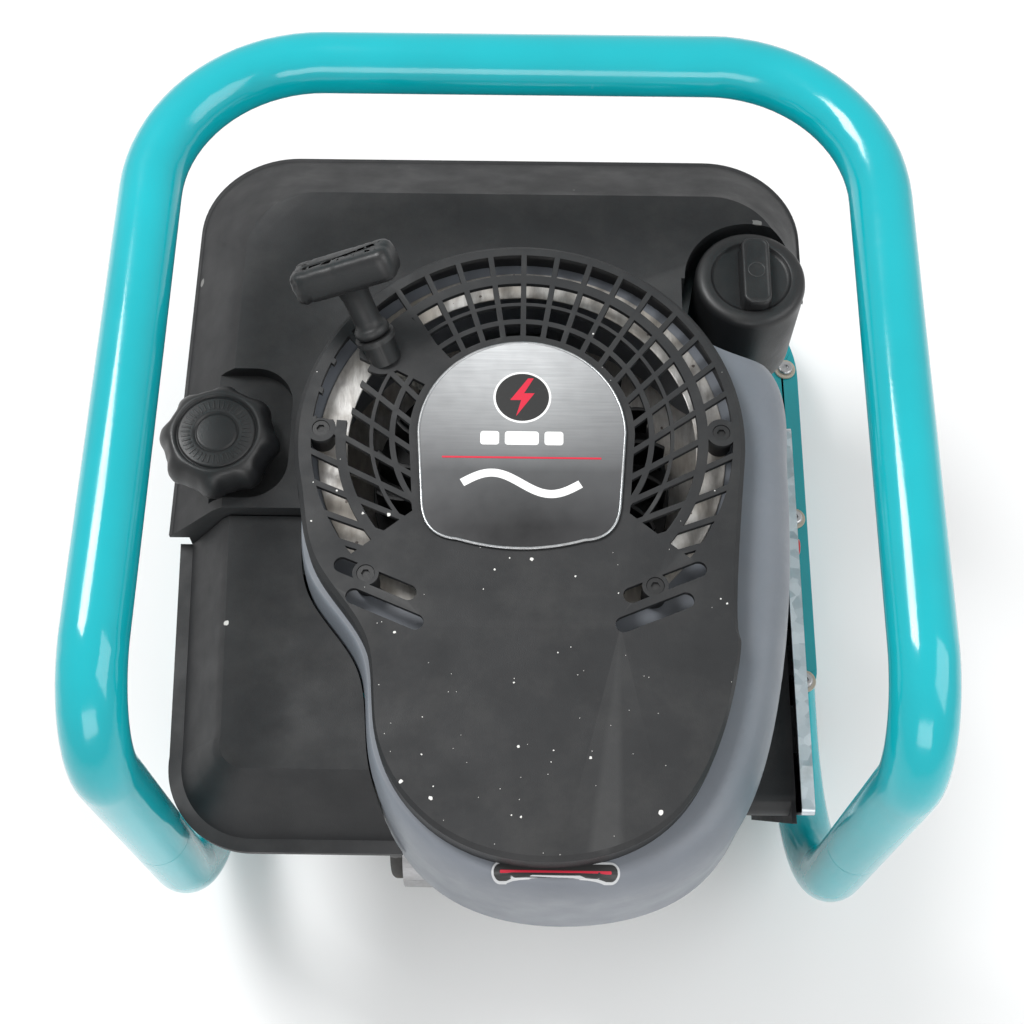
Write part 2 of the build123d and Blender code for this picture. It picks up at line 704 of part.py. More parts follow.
with BuildPart() as blower_cover:
    with BuildSketch(level(COVER_Z)):
        cover_outline()
    extrude(amount=COVER_H - COVER_EDGE)
    for height, inset in ((COVER_TOP - COVER_EDGE, 0.0), (COVER_TOP, COVER_EDGE)):
        with BuildSketch(level(height)):
            cover_outline(inset)
    loft(ruled=True)
    with BuildSketch(level(COVER_Z)):
        cover_outline(COVER_WALL)
    extrude(amount=COVER_H - COVER_WALL, mode=Mode.SUBTRACT)
    with BuildSketch(level(COVER_TOP)):
        add(cells.sketch)
    extrude(amount=-COVER_WALL - 1.0, mode=Mode.SUBTRACT)
    with BuildSketch(level(COVER_TOP - 1.0)):
        Circle(POST_R)
    extrude(amount=PULLEY_Z - COVER_TOP + 1.0)
    with BuildSketch(level(COVER_TOP - 1.0)):
        with Locations(*SCREW_SPOTS):
            Circle(6.5)
    extrude(amount=COVER_Z + RING_T - COVER_TOP + 1.0)
    with BuildSketch(level(COVER_TOP)):
        with Locations(*SCREW_SPOTS):
            Circle(4.7)
    extrude(amount=-3.0, mode=Mode.SUBTRACT)
    with BuildSketch(level(COVER_TOP)):
        with Locations(*SCREW_SPOTS):
            Circle(SCREW_R + 0.1)
    extrude(amount=-COVER_H, mode=Mode.SUBTRACT)
    with BuildSketch(PULL.offset(-20.0)):
        Circle(GUIDE_R - 3.0)
    extrude(amount=40.0, mode=Mode.SUBTRACT)
save(blower_cover, "blower_cover")

with BuildPart() as cover_screws:
    with BuildSketch(level(COVER_TOP - 3.0)):
        with Locations(*SCREW_SPOTS):
            Circle(4.5)
    extrude(amount=2.4)
    with BuildSketch(level(COVER_TOP - 3.0)):
        with Locations(*SCREW_SPOTS):
            Circle(SCREW_R)
    extrude(amount=COVER_Z + RING_T + 1.0 - COVER_TOP + 3.0)
    with BuildSketch(level(COVER_TOP - 0.6)):
        with Locations(*SCREW_SPOTS):
            RegularPolygon(2.4, 6)
    extrude(amount=-1.4, mode=Mode.SUBTRACT)
save(cover_screws, "cover_screws")

with BuildPart() as label_plate:
    with BuildSketch(level(LABEL_Z)):
        label_outline()
    extrude(amount=LABEL_T)
save(label_plate, "label_plate")

# Recoil starter: pulley on the cover's post, flat spring above it, rope out through the guide
PULLEY_H = 18.0
GROOVE_R = PULLEY_R - 5.0
with BuildPart() as pulley:
    with BuildSketch(level(PULLEY_Z)):
        Circle(PULLEY_R)
    extrude(amount=PULLEY_H)
    with BuildSketch(level(PULLEY_Z + 6.0)):
        Circle(PULLEY_R)
        Circle(GROOVE_R, mode=Mode.SUBTRACT)
    extrude(amount=6.0, mode=Mode.SUBTRACT)
    with BuildSketch(level(PULLEY_Z)):
        Circle(POST_R + FIT)
    extrude(amount=PULLEY_H, mode=Mode.SUBTRACT)
    with BuildSketch(level(PULLEY_Z)):
        with PolarLocations(20.0, 2):
            RectangleRounded(18.0, 9.0, 3.0)
    extrude(amount=-14.0)
save(pulley, "starter_pulley")

SPRING_Z = PULLEY_Z + PULLEY_H + 1.0
SPRING_TURNS = 5
SPRING_PITCH = 4.5
with BuildPart() as recoil_spring:
    with BuildSketch(level(SPRING_Z)):
        for turn in range(SPRING_TURNS):
            inner = POST_R + 5.0 + turn * SPRING_PITCH
            with BuildLine() as coil_line:
                ThreePointArc((inner, 0.0), (0.0, inner), (-inner, 0.0))
                outward = inner + SPRING_PITCH
                ThreePointArc((-inner, 0.0), ((outward - inner) / 2, -(outward + inner) / 2), (outward, 0.0))
            trace(coil_line.line, line_width=1.2)
        Circle(POST_R + 5.6)
        Circle(POST_R + 0.02, mode=Mode.SUBTRACT)
    extrude(amount=COVER_TOP - COVER_WALL - SPRING_Z)
save(recoil_spring, "recoil_spring")

with BuildPart() as rope_guide:
    with BuildSketch(PULL.offset(-4.0)):
        Circle(GUIDE_R)
    extrude(amount=GUIDE_H + 4.0)
    with BuildSketch(PULL.offset(GUIDE_H)):
        Circle(GUIDE_R + 2.0)
    extrude(amount=-3.0)
    with BuildSketch(level(COVER_TOP - 30.0)):
        Circle(2 * COVER_R)
    extrude(amount=30.0, mode=Mode.SUBTRACT)
    with BuildSketch(PULL.offset(-30.0)):
        Circle(ROPE_HOLE_R)
    extrude(amount=60.0, mode=Mode.SUBTRACT)
save(rope_guide, "rope_guide")

STEM_L = 34.0
STEM_R = 8.2
GRIP_L = 58.0
GRIP_W = 22.0
GRIP_H = 18.0
HANDLE_FROM = GUIDE_H + GAP
with BuildPart() as starter_handle:
    with BuildSketch(PULL.offset(HANDLE_FROM)):
        Circle(STEM_R)
    with BuildSketch(PULL.offset(HANDLE_FROM + STEM_L)):
        Circle(STEM_R + 1.5)
    loft()
    with BuildSketch(PULL.offset(HANDLE_FROM + STEM_L - 4.0)):
        RectangleRounded(GRIP_L, GRIP_W, 6.0)
    extrude(amount=GRIP_H)
    fillet(starter_handle.edges().group_by(Axis((0, 0, 0), PULL_DIR))[-1], 2.5)
    with BuildSketch(PULL.offset(HANDLE_FROM)):
        Circle(ROPE_R + GAP)
    extrude(amount=STEM_L + 4.0, mode=Mode.SUBTRACT)
save(starter_handle, "starter_handle")

ROPE_Z = PULLEY_Z + 9.0
GUIDE_AWAY = math.hypot(*COLLAR_AT)
TANGENT = math.acos((GROOVE_R + ROPE_R + GAP) / GUIDE_AWAY)
GUIDE_ANGLE = math.atan2(COLLAR_AT[1], COLLAR_AT[0])
LEAVE = Vector(GROOVE_R + ROPE_R + GAP, 0).rotate(Axis.Z, math.degrees(GUIDE_ANGLE - TANGENT))
ROPE_START = Vector(ENGINE_X + LEAVE.X, ENGINE_Y + LEAVE.Y, ROPE_Z)
ROPE_BEND = PULL_FROM - PULL_DIR * 14.0
ROPE_LEVEL = ROPE_START + Vector(ROPE_BEND.X - ROPE_START.X, ROPE_BEND.Y - ROPE_START.Y, 0) * 0.6
with BuildPart() as rope:
    with BuildLine() as rope_run:
        FilletPolyline(
            ROPE_START, ROPE_LEVEL, ROPE_BEND, PULL_FROM + PULL_DIR * (HANDLE_FROM + STEM_L), radius=8.0
        )
    with BuildSketch(Plane(origin=rope_run.line @ 0, z_dir=rope_run.line % 0)):
        Circle(ROPE_R)
    sweep(path=rope_run.line)
save(rope, "starter_rope")

# ---------------------------------------------------------------- carburettor and air cleaner

PORT_AT = Vector(ENGINE_X - HEAD_W / 2, ENGINE_Y - BARREL_END - 15.0, CYLINDER_Z)
SIDE = Plane(origin=PORT_AT, z_dir=(-1, 0, 0), x_dir=(0, -1, 0))
CARB_L = 34.0
with BuildPart() as carburettor:
    with BuildSketch(SIDE):
        RectangleRounded(20.0, 44.0, 6.0)
    extrude(amount=5.0)
    with BuildSketch(SIDE.offset(5.0)):
        RectangleRounded(34.0, 34.0, 8.0)
    extrude(amount=CARB_L - 5.0)
    with BuildSketch(Plane(origin=SIDE.origin + Vector(-20.0, 0, -17.0), z_dir=(0, 0, -1))):
        Circle(14.0)
    extrude(amount=18.0)
    with BuildSketch(SIDE):
        Circle(9.0)
    extrude(amount=CARB_L, mode=Mode.SUBTRACT)
save(carburettor, "carburettor")

CHOKE_AT = SIDE.origin + Vector(-20.0, 0, 17.0)
with BuildPart() as choke:
    with BuildSketch(Plane(origin=CHOKE_AT + Vector(0, 0, GAP))):
        Circle(5.0)
        with BuildLine():
            Polyline((-4.0, 0.0), (-3.0, -34.0), (3.0, -34.0), (4.0, 0.0), close=True)
        make_face()
    extrude(amount=3.0)
    with BuildSketch(Plane(origin=CHOKE_AT + Vector(0, -30.0, 3.0 + GAP))):
        Circle(5.0)
    extrude(amount=6.0)
save(choke, "choke_lever")

LEG_CLEAR = 25.0
BASE_BOX = (-RAIL_X + TUBE_R + 4.0, -HEAD_W / 2 + ENGINE_X - CARB_L)
CLEANER_Z = SHROUD_Z - 55.0
CLEANER_TOP = SHROUD_Z + 17.0
BASE_U = (BASE_BOX[0] + BASE_BOX[1]) / 2 - ENGINE_X
BASE_W = BASE_BOX[1] - BASE_BOX[0]
BASE_V = (-191.0, -48.0)
BASE_L = BASE_V[1] - BASE_V[0]


def cleaner_tray(inset):
    """The air cleaner's plan inside its rim; used inside a sketch block."""
    with Locations((BASE_U, (BASE_V[0] + BASE_V[1]) / 2)):
        RectangleRounded(BASE_W - 2 * inset, BASE_L - 2 * inset, LEG_CLEAR - inset)
    Circle(COVER_R + TANK_GAP + inset, mode=Mode.SUBTRACT)
    shroud_outline(0.0, -1.5 - inset, mode=Mode.SUBTRACT)


with BuildPart() as cleaner_base:
    with BuildSketch(level(CLEANER_Z)):
        cleaner_tray(0.0)
    extrude(amount=CLEANER_TOP - CLEANER_Z)
    with BuildSketch(level(CLEANER_Z + 4.0)):
        cleaner_tray(3.0)
    extrude(amount=CLEANER_TOP - CLEANER_Z, mode=Mode.SUBTRACT)
    with BuildSketch(SIDE.offset(CARB_L - 5.0)):
        Circle(9.0)
    extrude(amount=15.0, mode=Mode.SUBTRACT)
save(cleaner_base, "air_cleaner_base")

with BuildPart() as filter_element:
    with BuildSketch(level(CLEANER_Z + 34.0)):
        cleaner_tray(3.0 + GAP)
    extrude(amount=CLEANER_TOP - CLEANER_Z - 38.0)
save(filter_element, "air_filter_element")

SEAM_V = -32.0
COVER_LIP = 4.0
HUMP_H = 40.0
COVER_REAR_T = 3.0
LEG_SIDE_U = -193.0


def side_cover_plan(inset=0.0, rear=0.0):
    """The left cover's plan: a straight left side, a wide round corner by the leg, a straight front."""
    with BuildLine() as edge:
        Polyline((-187.0 + inset, -156.0), (LEG_SIDE_U + inset, SEAM_V - rear), (-60.0, SEAM_V - rear))
        Line((-60.0, SEAM_V - rear), (-60.0, -207.0 + inset))
        Line((-60.0, -207.0 + inset), (-139.0, -207.0 + inset))
        bend = (-173.0 + 0.7 * inset, -193.0 + 0.7 * inset)
        ThreePointArc((-139.0, -207.0 + inset), bend, (-187.0 + inset, -156.0))
    make_face(edge.edges())


def clear_of_blower(gap):
    """The blower cover and shroud's plan with a gap, to be cut from what stands beside them."""
    Circle(COVER_R + TANK_GAP + gap)
    shroud_outline(0.0, -1.5 - gap)


with BuildPart() as side_cover:
    with BuildSketch(level(CLEANER_TOP)):
        side_cover_plan()
    extrude(amount=COVER_LIP)
    for step, inset in ((0.0, 7.0), (HUMP_H - 4.0, 30.0), (HUMP_H, 34.0)):
        with BuildSketch(level(CLEANER_TOP + COVER_LIP + step)):
            side_cover_plan(inset)
    loft(ruled=True)
    with BuildSketch(level(CLEANER_TOP)):
        side_cover_plan(10.0, COVER_REAR_T)
    extrude(amount=COVER_LIP, mode=Mode.SUBTRACT)
    for step, inset in ((-0.1, 10.0), (HUMP_H - 4.0 - 2.5, 33.0), (HUMP_H - 2.5, 37.0)):
        with BuildSketch(level(CLEANER_TOP + COVER_LIP + step)):
            side_cover_plan(inset, COVER_REAR_T)
    loft(ruled=True, mode=Mode.SUBTRACT)
    with BuildSketch(level(CLEANER_TOP - 1.0)):
        clear_of_blower(0.0)
    extrude(amount=HUMP_H + COVER_LIP + 2.0, mode=Mode.SUBTRACT)
save(side_cover, "side_cover_left")

# ---------------------------------------------------------------- exhaust

MUFFLER_R = 33.0
MUFFLER_L = 150.0
MUFFLER_AT = Vector(ENGINE_X, ENGINE_Y - BARREL_END - 8.0, CASE_Z - MUFFLER_R - 5.0)
ALONG = Plane(origin=MUFFLER_AT - Vector(MUFFLER_L / 2, 0, 0), z_dir=(1, 0, 0), x_dir=(0, 1, 0))
PORT_U = 26.0
with BuildPart() as muffler:
    with BuildSketch(ALONG):
        Circle(MUFFLER_R)
    extrude(amount=MUFFLER_L)
    fillet(muffler.edges(), 4.0)
    with BuildSketch(ALONG.offset(14.0)):
        Circle(MUFFLER_R + 1.5)
    extrude(amount=4.0)
    with BuildSketch(ALONG.offset(MUFFLER_L - 18.0)):
        Circle(MUFFLER_R + 1.5)
    extrude(amount=4.0)
    with BuildSketch(Plane(origin=MUFFLER_AT + Vector(PORT_U, 0, 0))):
        Circle(12.0)
    extrude(amount=CYLINDER_Z - (HEAD_H - 1.0) / 2 - MUFFLER_AT.Z)
    with BuildSketch(ALONG):
        Circle(9.0)
    extrude(amount=-22.0)
    with BuildSketch(ALONG.offset(-22.0)):
        Circle(7.5)
    extrude(amount=20.0, mode=Mode.SUBTRACT)
save(muffler, "muffler")

GUARD_R = MUFFLER_R + 5.0
with BuildPart() as guard:
    with BuildSketch(ALONG.offset(8.0)):
        Circle(GUARD_R)
        Circle(GUARD_R - SHEET, mode=Mode.SUBTRACT)
        with Locations((GUARD_R * 0.7, 0)):
            Rectangle(GUARD_R * 2, GUARD_R * 3, mode=Mode.SUBTRACT)
    extrude(amount=MUFFLER_L - 16.0)
    for low in (19.0, MUFFLER_L - 19.0 - SHEET):
        with BuildSketch(ALONG.offset(low)):
            Circle(GUARD_R - SHEET / 2)
            Circle(MUFFLER_R + 0.1, mode=Mode.SUBTRACT)
            with Locations((GUARD_R * 0.7, 0)):
                Rectangle(GUARD_R * 2, GUARD_R * 3, mode=Mode.SUBTRACT)
        extrude(amount=SHEET)
    with BuildSketch(Plane.XZ.offset(-MUFFLER_AT.Y)):
        with Locations((MUFFLER_AT.X, MUFFLER_AT.Z)):
            with GridLocations(14.0, 12.0, 7, 4):
                SlotOverall(9.0, 5.0)
    extrude(amount=2 * GUARD_R, mode=Mode.SUBTRACT)
save(guard, "muffler_guard")

# ---------------------------------------------------------------- oil filler and drain

FILLER_TOP = SHROUD_Z + 60.0
CAP_AT = Vector(ENGINE_X + OIL_CAP_AT[0], ENGINE_Y + OIL_CAP_AT[1], FILLER_TOP)
ELBOW = Vector(CAP_AT.X, CAP_AT.Y, CASE_Z + SUMP_T + OIL_TUBE_R + 1.0)
with BuildPart() as filler:
    with BuildLine() as filler_run:
        FilletPolyline(CAP_AT, ELBOW, Vector(ENGINE_X, ENGINE_Y, ELBOW.Z), radius=32.0)
    with BuildSketch(Plane(origin=CAP_AT, z_dir=(0, 0, -1))):
        Circle(OIL_TUBE_R)
        Circle(OIL_TUBE_R - 2.0, mode=Mode.SUBTRACT)
    sweep(path=filler_run.line)
    with BuildSketch(level(CASE_Z)):
        Circle(CASE_R + FIT)
    extrude(amount=2 * CASE_H, mode=Mode.SUBTRACT)
    with BuildSketch(Plane(origin=CAP_AT)):
        Circle(OIL_TUBE_R + 6.0)
        Circle(OIL_TUBE_R - 2.0, mode=Mode.SUBTRACT)
    extrude(amount=-4.0)
save(filler, "oil_filler_tube")

SEAL_T = 2.0
with BuildPart() as oil_seal:
    with BuildSketch(Plane(origin=CAP_AT)):
        Circle(OIL_TUBE_R + 5.0)
        Circle(OIL_TUBE_R - 1.0, mode=Mode.SUBTRACT)
    extrude(amount=SEAL_T)
save(oil_seal, "oil_cap_seal")

SKIRT_H = 10.0
OIL_CAP_H = 22.0
BAR_GRIP_W = 17.0
DIPSTICK_L = 62.0
with BuildPart() as oil_cap:
    with BuildSketch(Plane(origin=CAP_AT + Vector(0, 0, -SKIRT_H))):
        Circle(OIL_CAP_R)
    extrude(amount=OIL_CAP_H)
    fillet(oil_cap.edges().group_by(Axis.Z)[-1], 3.0)
    with BuildSketch(Plane(origin=CAP_AT + Vector(0, 0, -SKIRT_H))):
        Circle(OIL_CAP_R - 4.0)
    extrude(amount=SKIRT_H + SEAL_T, mode=Mode.SUBTRACT)
    with BuildSketch(Plane(origin=CAP_AT + Vector(0, 0, OIL_CAP_H - SKIRT_H))):
        SlotOverall(2 * OIL_CAP_R - 6.0, BAR_GRIP_W + 12.0, rotation=90.0)
    extrude(amount=-5.0, mode=Mode.SUBTRACT)
    with BuildSketch(Plane(origin=CAP_AT + Vector(0, 0, SEAL_T))):
        RectangleRounded(BAR_GRIP_W, 2 * OIL_CAP_R - 13.0, 5.0)
    extrude(amount=OIL_CAP_H - SKIRT_H + 4.0)
    with BuildSketch(Plane(origin=CAP_AT + Vector(0, 0, SEAL_T + 1.0))):
        Circle(OIL_TUBE_R - 4.0)
    extrude(amount=-8.0)
    with BuildSketch(Plane(origin=CAP_AT)):
        Rectangle(6.0, 1.6)
    extrude(amount=-DIPSTICK_L)
save(oil_cap, "oil_cap")

# ---------------------------------------------------------------- fuel tank

TANK_SEAM_Z = TANK_TOP_Z - 40.0
TANK_FLOOR_Z = TANK_TOP_Z - 96.0
RECESS_FLOOR = TANK_TOP_Z - 9.0
NECK_TOP = RECESS_FLOOR + 16.0
RECESS_W = 114.0
RECESS_D = 80.0
RECESS_AT = (FUEL_CAP_AT[0] - 20.0, FUEL_CAP_AT[1] + 10.0)
TANK_BACK = 227.0
TANK_LEFT = -197.0
TANK_RIGHT = 167.0


def tank_plan(left, right, back, corner):
    """The tank's plan before its cut-outs, with round rear corners; used inside a sketch block."""
    front = SEAM_V - 30.0
    with BuildLine() as edge:
        FilletPolyline((left, front), (left, back), (right, back), (right, front), radius=(corner, corner))
        Line((right, front), (left, front))
    make_face(edge.edges())


def tank_cuts(gap):
    """Cuts the blower's circle, the oil cap's corner and the seam from the tank, inside a part block."""
    with BuildSketch(level(TANK_FLOOR_Z - 1.0)) as cuts:
        Circle(COVER_R + TANK_GAP + gap)
        with Locations(OIL_CAP_AT):
            Circle(OIL_CAP_R + 6.0 + gap)
        with Locations((OIL_CAP_AT[0] + 100.0 - 40.0 - gap, OIL_CAP_AT[1] - 200.0)):
            Rectangle(200.0, 400.0)
        with Locations((0, SEAM_V - 200.0 + 1.0 + gap)):
            Rectangle(800.0, 400.0)
    extrude(cuts.sketch, amount=TANK_TOP_Z - TANK_FLOOR_Z + 2.0, mode=Mode.SUBTRACT)


def tank_body(inset):
    """The tank's outside, or with an inset its inside; used inside a part block."""
    with BuildSketch(level(TANK_FLOOR_Z + inset)) as belly:
        tank_plan(TANK_LEFT + 10.0 + inset, TANK_RIGHT - 8.0 - inset, TANK_BACK - 12.0 - inset, 46.0)
    extrude(belly.sketch, amount=TANK_SEAM_Z - TANK_FLOOR_Z - inset + 0.1)
    crown = []
    for height, left, right, back, corner in (
        (TANK_SEAM_Z, TANK_LEFT, TANK_RIGHT, TANK_BACK, 56.0),
        (TANK_TOP_Z - 5.0, TANK_LEFT + 29.0, TANK_RIGHT - 15.0, TANK_BACK - 46.0, 44.0),
        (TANK_TOP_Z, TANK_LEFT + 35.0, TANK_RIGHT - 18.0, TANK_BACK - 52.0, 40.0),
    ):
        with BuildSketch(level(height - inset)) as ring:
            tank_plan(left + inset, right - inset, back - inset, corner)
        crown.append(ring.sketch)
    loft(crown, ruled=True)
    tank_cuts(inset)


with BuildPart() as tank_hollow:
    tank_body(TANK_WALL)
    with BuildSketch(level(RECESS_FLOOR - TANK_WALL)):
        with Locations(RECESS_AT):
            RectangleRounded(RECESS_W + 2 * TANK_WALL, RECESS_D + 2 * TANK_WALL, 24.0)
    extrude(amount=TANK_TOP_Z, mode=Mode.SUBTRACT)

with BuildPart() as fuel_tank:
    tank_body(0.0)
    with BuildSketch(level(TANK_SEAM_Z - 2.0)):
        tank_plan(TANK_LEFT - 1.0, TANK_RIGHT + 1.0, TANK_BACK + 1.0, 57.0)
    extrude(amount=3.0)
    tank_cuts(0.0)
    with BuildSketch(level(RECESS_FLOOR)):
        with Locations(RECESS_AT):
            RectangleRounded(RECESS_W, RECESS_D, 22.0)
    extrude(amount=TANK_TOP_Z, mode=Mode.SUBTRACT)
    add(tank_hollow.part, mode=Mode.SUBTRACT)
    with BuildSketch(level(RECESS_FLOOR - 1.0)):
        with Locations(FUEL_CAP_AT):
            Circle(FUEL_NECK_R)
    extrude(amount=NECK_TOP - RECESS_FLOOR + 1.0)
    with BuildSketch(level(RECESS_FLOOR - 2 * TANK_WALL)):
        with Locations(FUEL_CAP_AT):
            Circle(FUEL_NECK_R - 3.0)
    extrude(amount=NECK_TOP, mode=Mode.SUBTRACT)
save(fuel_tank, "fuel_tank")

with BuildPart() as gasket:
    with BuildSketch(level(NECK_TOP)):
        with Locations(FUEL_CAP_AT):
            Circle(FUEL_NECK_R - 0.5)
            Circle(FUEL_NECK_R - 3.0, mode=Mode.SUBTRACT)
    extrude(amount=SEAL_T)
save(gasket, "fuel_cap_gasket")

FUEL_CAP_R = FUEL_NECK_R + 14.0
FUEL_CAP_H = 19.0
CAP_LOW = TANK_TOP_Z + 1.0
FLUTES = 8
with BuildPart() as fuel_cap:
    with BuildSketch(level(CAP_LOW)):
        with Locations(FUEL_CAP_AT):
            Circle(FUEL_CAP_R)
            with PolarLocations(FUEL_CAP_R + 8.0, FLUTES, start_angle=22.5):
                Circle(10.5, mode=Mode.SUBTRACT)
    extrude(amount=FUEL_CAP_H)
    with BuildSketch(level(CAP_LOW + FUEL_CAP_H)):
        with Locations(FUEL_CAP_AT):
            Circle(FUEL_CAP_R + 5.0)
            Circle(FUEL_CAP_R - 2.5, mode=Mode.SUBTRACT)
    extrude(amount=-8.0, taper=-24.0, mode=Mode.SUBTRACT)
    with BuildSketch(level(CAP_LOW + FUEL_CAP_H)):
        with Locations(FUEL_CAP_AT):
            Circle(FUEL_CAP_R - 7.5)
            Circle(FUEL_CAP_R - 19.0, mode=Mode.SUBTRACT)
    extrude(amount=-0.8, mode=Mode.SUBTRACT)
    with BuildSketch(level(CAP_LOW)):
        with Locations(FUEL_CAP_AT):
            Circle(FUEL_NECK_R + GAP)
    extrude(amount=NECK_TOP + SEAL_T - CAP_LOW, mode=Mode.SUBTRACT)
save(fuel_cap, "fuel_cap")

BRACKET_W = 28.0
BRACKET_T = 3.0
BRACKET_SPOTS = [(-120.0, 150.0), (110.0, 165.0), (-160.0, -10.0)]
with BuildPart() as brackets:
    for spot in BRACKET_SPOTS:
        for low in (DECK_TOP, TANK_FLOOR_Z - BRACKET_T):
            with BuildSketch(level(low)):
                with Locations(spot):
                    Rectangle(30.0, BRACKET_W)
            extrude(amount=BRACKET_T)
        with BuildSketch(level(DECK_TOP)):
            with Locations(spot):
                Rectangle(BRACKET_T, BRACKET_W)
        extrude(amount=TANK_FLOOR_Z - DECK_TOP)
save(brackets, "tank_brackets")

VALVE_AT = (-135.0, 30.0)
VALVE_H = 26.0
with BuildPart() as fuel_valve:
    with BuildSketch(level(TANK_FLOOR_Z)):
        with Locations(VALVE_AT):
            Circle(11.0)
    extrude(amount=-VALVE_H)
    with BuildSketch(level(TANK_FLOOR_Z - VALVE_H)):
        with Locations(VALVE_AT):
            Circle(4.0)
    extrude(amount=-9.0)
save(fuel_valve, "fuel_valve")

LEVER_AT = Vector(ENGINE_X + VALVE_AT[0] - 11.0 - GAP, ENGINE_Y + VALVE_AT[1], TANK_FLOOR_Z - VALVE_H / 2)
with BuildPart() as valve_lever:
    with BuildSketch(Plane(origin=LEVER_AT, z_dir=(-1, 0, 0), x_dir=(0, -1, 0))):
        Circle(8.0)
        with Locations((15.0, 0)):
            SlotOverall(34.0, 8.0)
    extrude(amount=5.0)
save(valve_lever, "fuel_valve_lever")

HOSE_R = 4.0
HOSE_FROM = Vector(ENGINE_X + VALVE_AT[0], ENGINE_Y + VALVE_AT[1], TANK_FLOOR_Z - VALVE_H - 9.0)
HOSE_TO = SIDE.origin + Vector(-20.0, 14.0, -26.0)
with BuildPart() as hose:
    with BuildLine() as hose_run:
        Spline(
            HOSE_FROM,
            HOSE_FROM + Vector(16.0, -40.0, -22.0),
            HOSE_TO + Vector(-12.0, 45.0, -14.0),
            HOSE_TO,
            tangents=((0, 0, -1), (0.1, -1.0, 0.0)),
        )
    with BuildSketch(Plane(origin=hose_run.line @ 0, z_dir=hose_run.line % 0)):
        Circle(HOSE_R)
    sweep(path=hose_run.line)
save(hose, "fuel_hose")

# ---------------------------------------------------------------- electrics on the right

PANEL_U = 159.0
PANEL_V = (-182.0, 51.0)
PANEL_LIP = 7.0
PANEL_TOP = SHROUD_Z + 15.0
PANEL_LOW = DECK_TOP + 3.0
PANEL_Y = ENGINE_Y + (PANEL_V[0] + PANEL_V[1]) / 2
PANEL_W = PANEL_V[1] - PANEL_V[0]
PANEL_H = PANEL_TOP - PANEL_LOW
PANEL_MID = (PANEL_TOP + PANEL_LOW) / 2
FACE = Plane(origin=(ENGINE_X + PANEL_U, PANEL_Y, PANEL_MID), z_dir=(1, 0, 0), x_dir=(0, 1, 0))
LEAN = 0.26
FASCIA_H = 118.0
FASCIA_W = PANEL_W - 40.0
FASCIA_T = 3.0
OUTLET_SPOTS = [(-58.0, 18.0), (-12.0, 18.0)]
DC_SPOT = (34.0, 22.0)
BREAKER_SPOT = (66.0, 22.0)
SWITCH_SPOT = (34.0, -28.0)
LAMP_SPOTS = [(-58.0 + 16.0 * lamp, -30.0) for lamp in range(3)]
STUD_SPOT = (66.0, -28.0)
OUTLET_W = 34.0
OUTLET_H = 68.0
DC_R = 14.0
BREAKER_R = 8.0
SWITCH_W = 22.0
SWITCH_H = 32.0
LAMP_R = 4.0
STUD_R = 3.0


SET_DEPTH = PANEL_LIP + 3.0
BUTTON_R = 5.0
BEZEL_T = 2.0


def leaning(side, width, height, corner, inset=0.0, mode=Mode.ADD):
    """A face whose front edge, on the given side, leans back towards its foot; used inside a sketch."""
    back = side * (inset - width / 2)
    rise = height / 2 - inset
    top = side * (width / 2 - inset)
    foot = top - side * LEAN * height
    corners = [(back, -rise), (foot, -rise), (top, rise), (back, rise)]
    with BuildLine() as edge:
        FilletPolyline(*corners[::side], radius=corner, close=True)
    make_face(edge.edges(), mode=mode)


def control_holes(clear):
    """Holes for what is set in the panel; used inside a sketch on its face."""
    with Locations(*OUTLET_SPOTS):
        Rectangle(OUTLET_W - 6.0 + clear, OUTLET_H - 6.0 + clear)
    with Locations(DC_SPOT):
        Circle(DC_R - 2.0 + clear)
    with Locations(*LAMP_SPOTS):
        Circle(LAMP_R + clear)
    with Locations(STUD_SPOT):
        Circle(STUD_R + clear)


def moulded_sockets(clear):
    """The fascia's switch and breaker sockets, which pass through the panel; used inside a sketch."""
    with Locations(BREAKER_SPOT):
        Circle(BREAKER_R + clear)
    with Locations(SWITCH_SPOT):
        Rectangle(SWITCH_W + clear, SWITCH_H + clear)


with BuildPart() as panel:
    with BuildSketch(FACE):
        leaning(-1, PANEL_W, PANEL_H, 4.0)
    extrude(amount=-PANEL_LIP)
    with BuildSketch(FACE.offset(-SHEET)):
        leaning(-1, PANEL_W, PANEL_H, 3.0, SHEET)
    extrude(amount=-PANEL_LIP, mode=Mode.SUBTRACT)
    with BuildSketch(FACE):
        control_holes(0.2)
        moulded_sockets(0.2)
    extrude(amount=-PANEL_LIP, mode=Mode.SUBTRACT)
save(panel, "control_panel")

with BuildPart() as fascia:
    with BuildSketch(FACE):
        leaning(-1, FASCIA_W, FASCIA_H, 8.0)
    extrude(amount=FASCIA_T)
    fillet(fascia.edges().group_by(Axis.X)[-1], 1.2)
    with BuildSketch(FACE):
        control_holes(0.2)
    extrude(amount=FASCIA_T, mode=Mode.SUBTRACT)
    with BuildSketch(FACE.offset(FASCIA_T)):
        moulded_sockets(0.0)
    extrude(amount=-SET_DEPTH)
    with BuildSketch(FACE.offset(FASCIA_T)):
        with Locations(BREAKER_SPOT):
            Circle(BREAKER_R + 2.5)
        with Locations(SWITCH_SPOT):
            RectangleRounded(SWITCH_W + 4.0, SWITCH_H + 4.0, 3.0)
    extrude(amount=BEZEL_T)
    with BuildSketch(FACE.offset(FASCIA_T + BEZEL_T)):
        with Locations(BREAKER_SPOT):
            Circle(BUTTON_R + FIT)
        with Locations(SWITCH_SPOT):
            Rectangle(SWITCH_W - 5.0, SWITCH_H - 4.0)
    extrude(amount=-11.0, mode=Mode.SUBTRACT)
save(fascia, "panel_fascia")

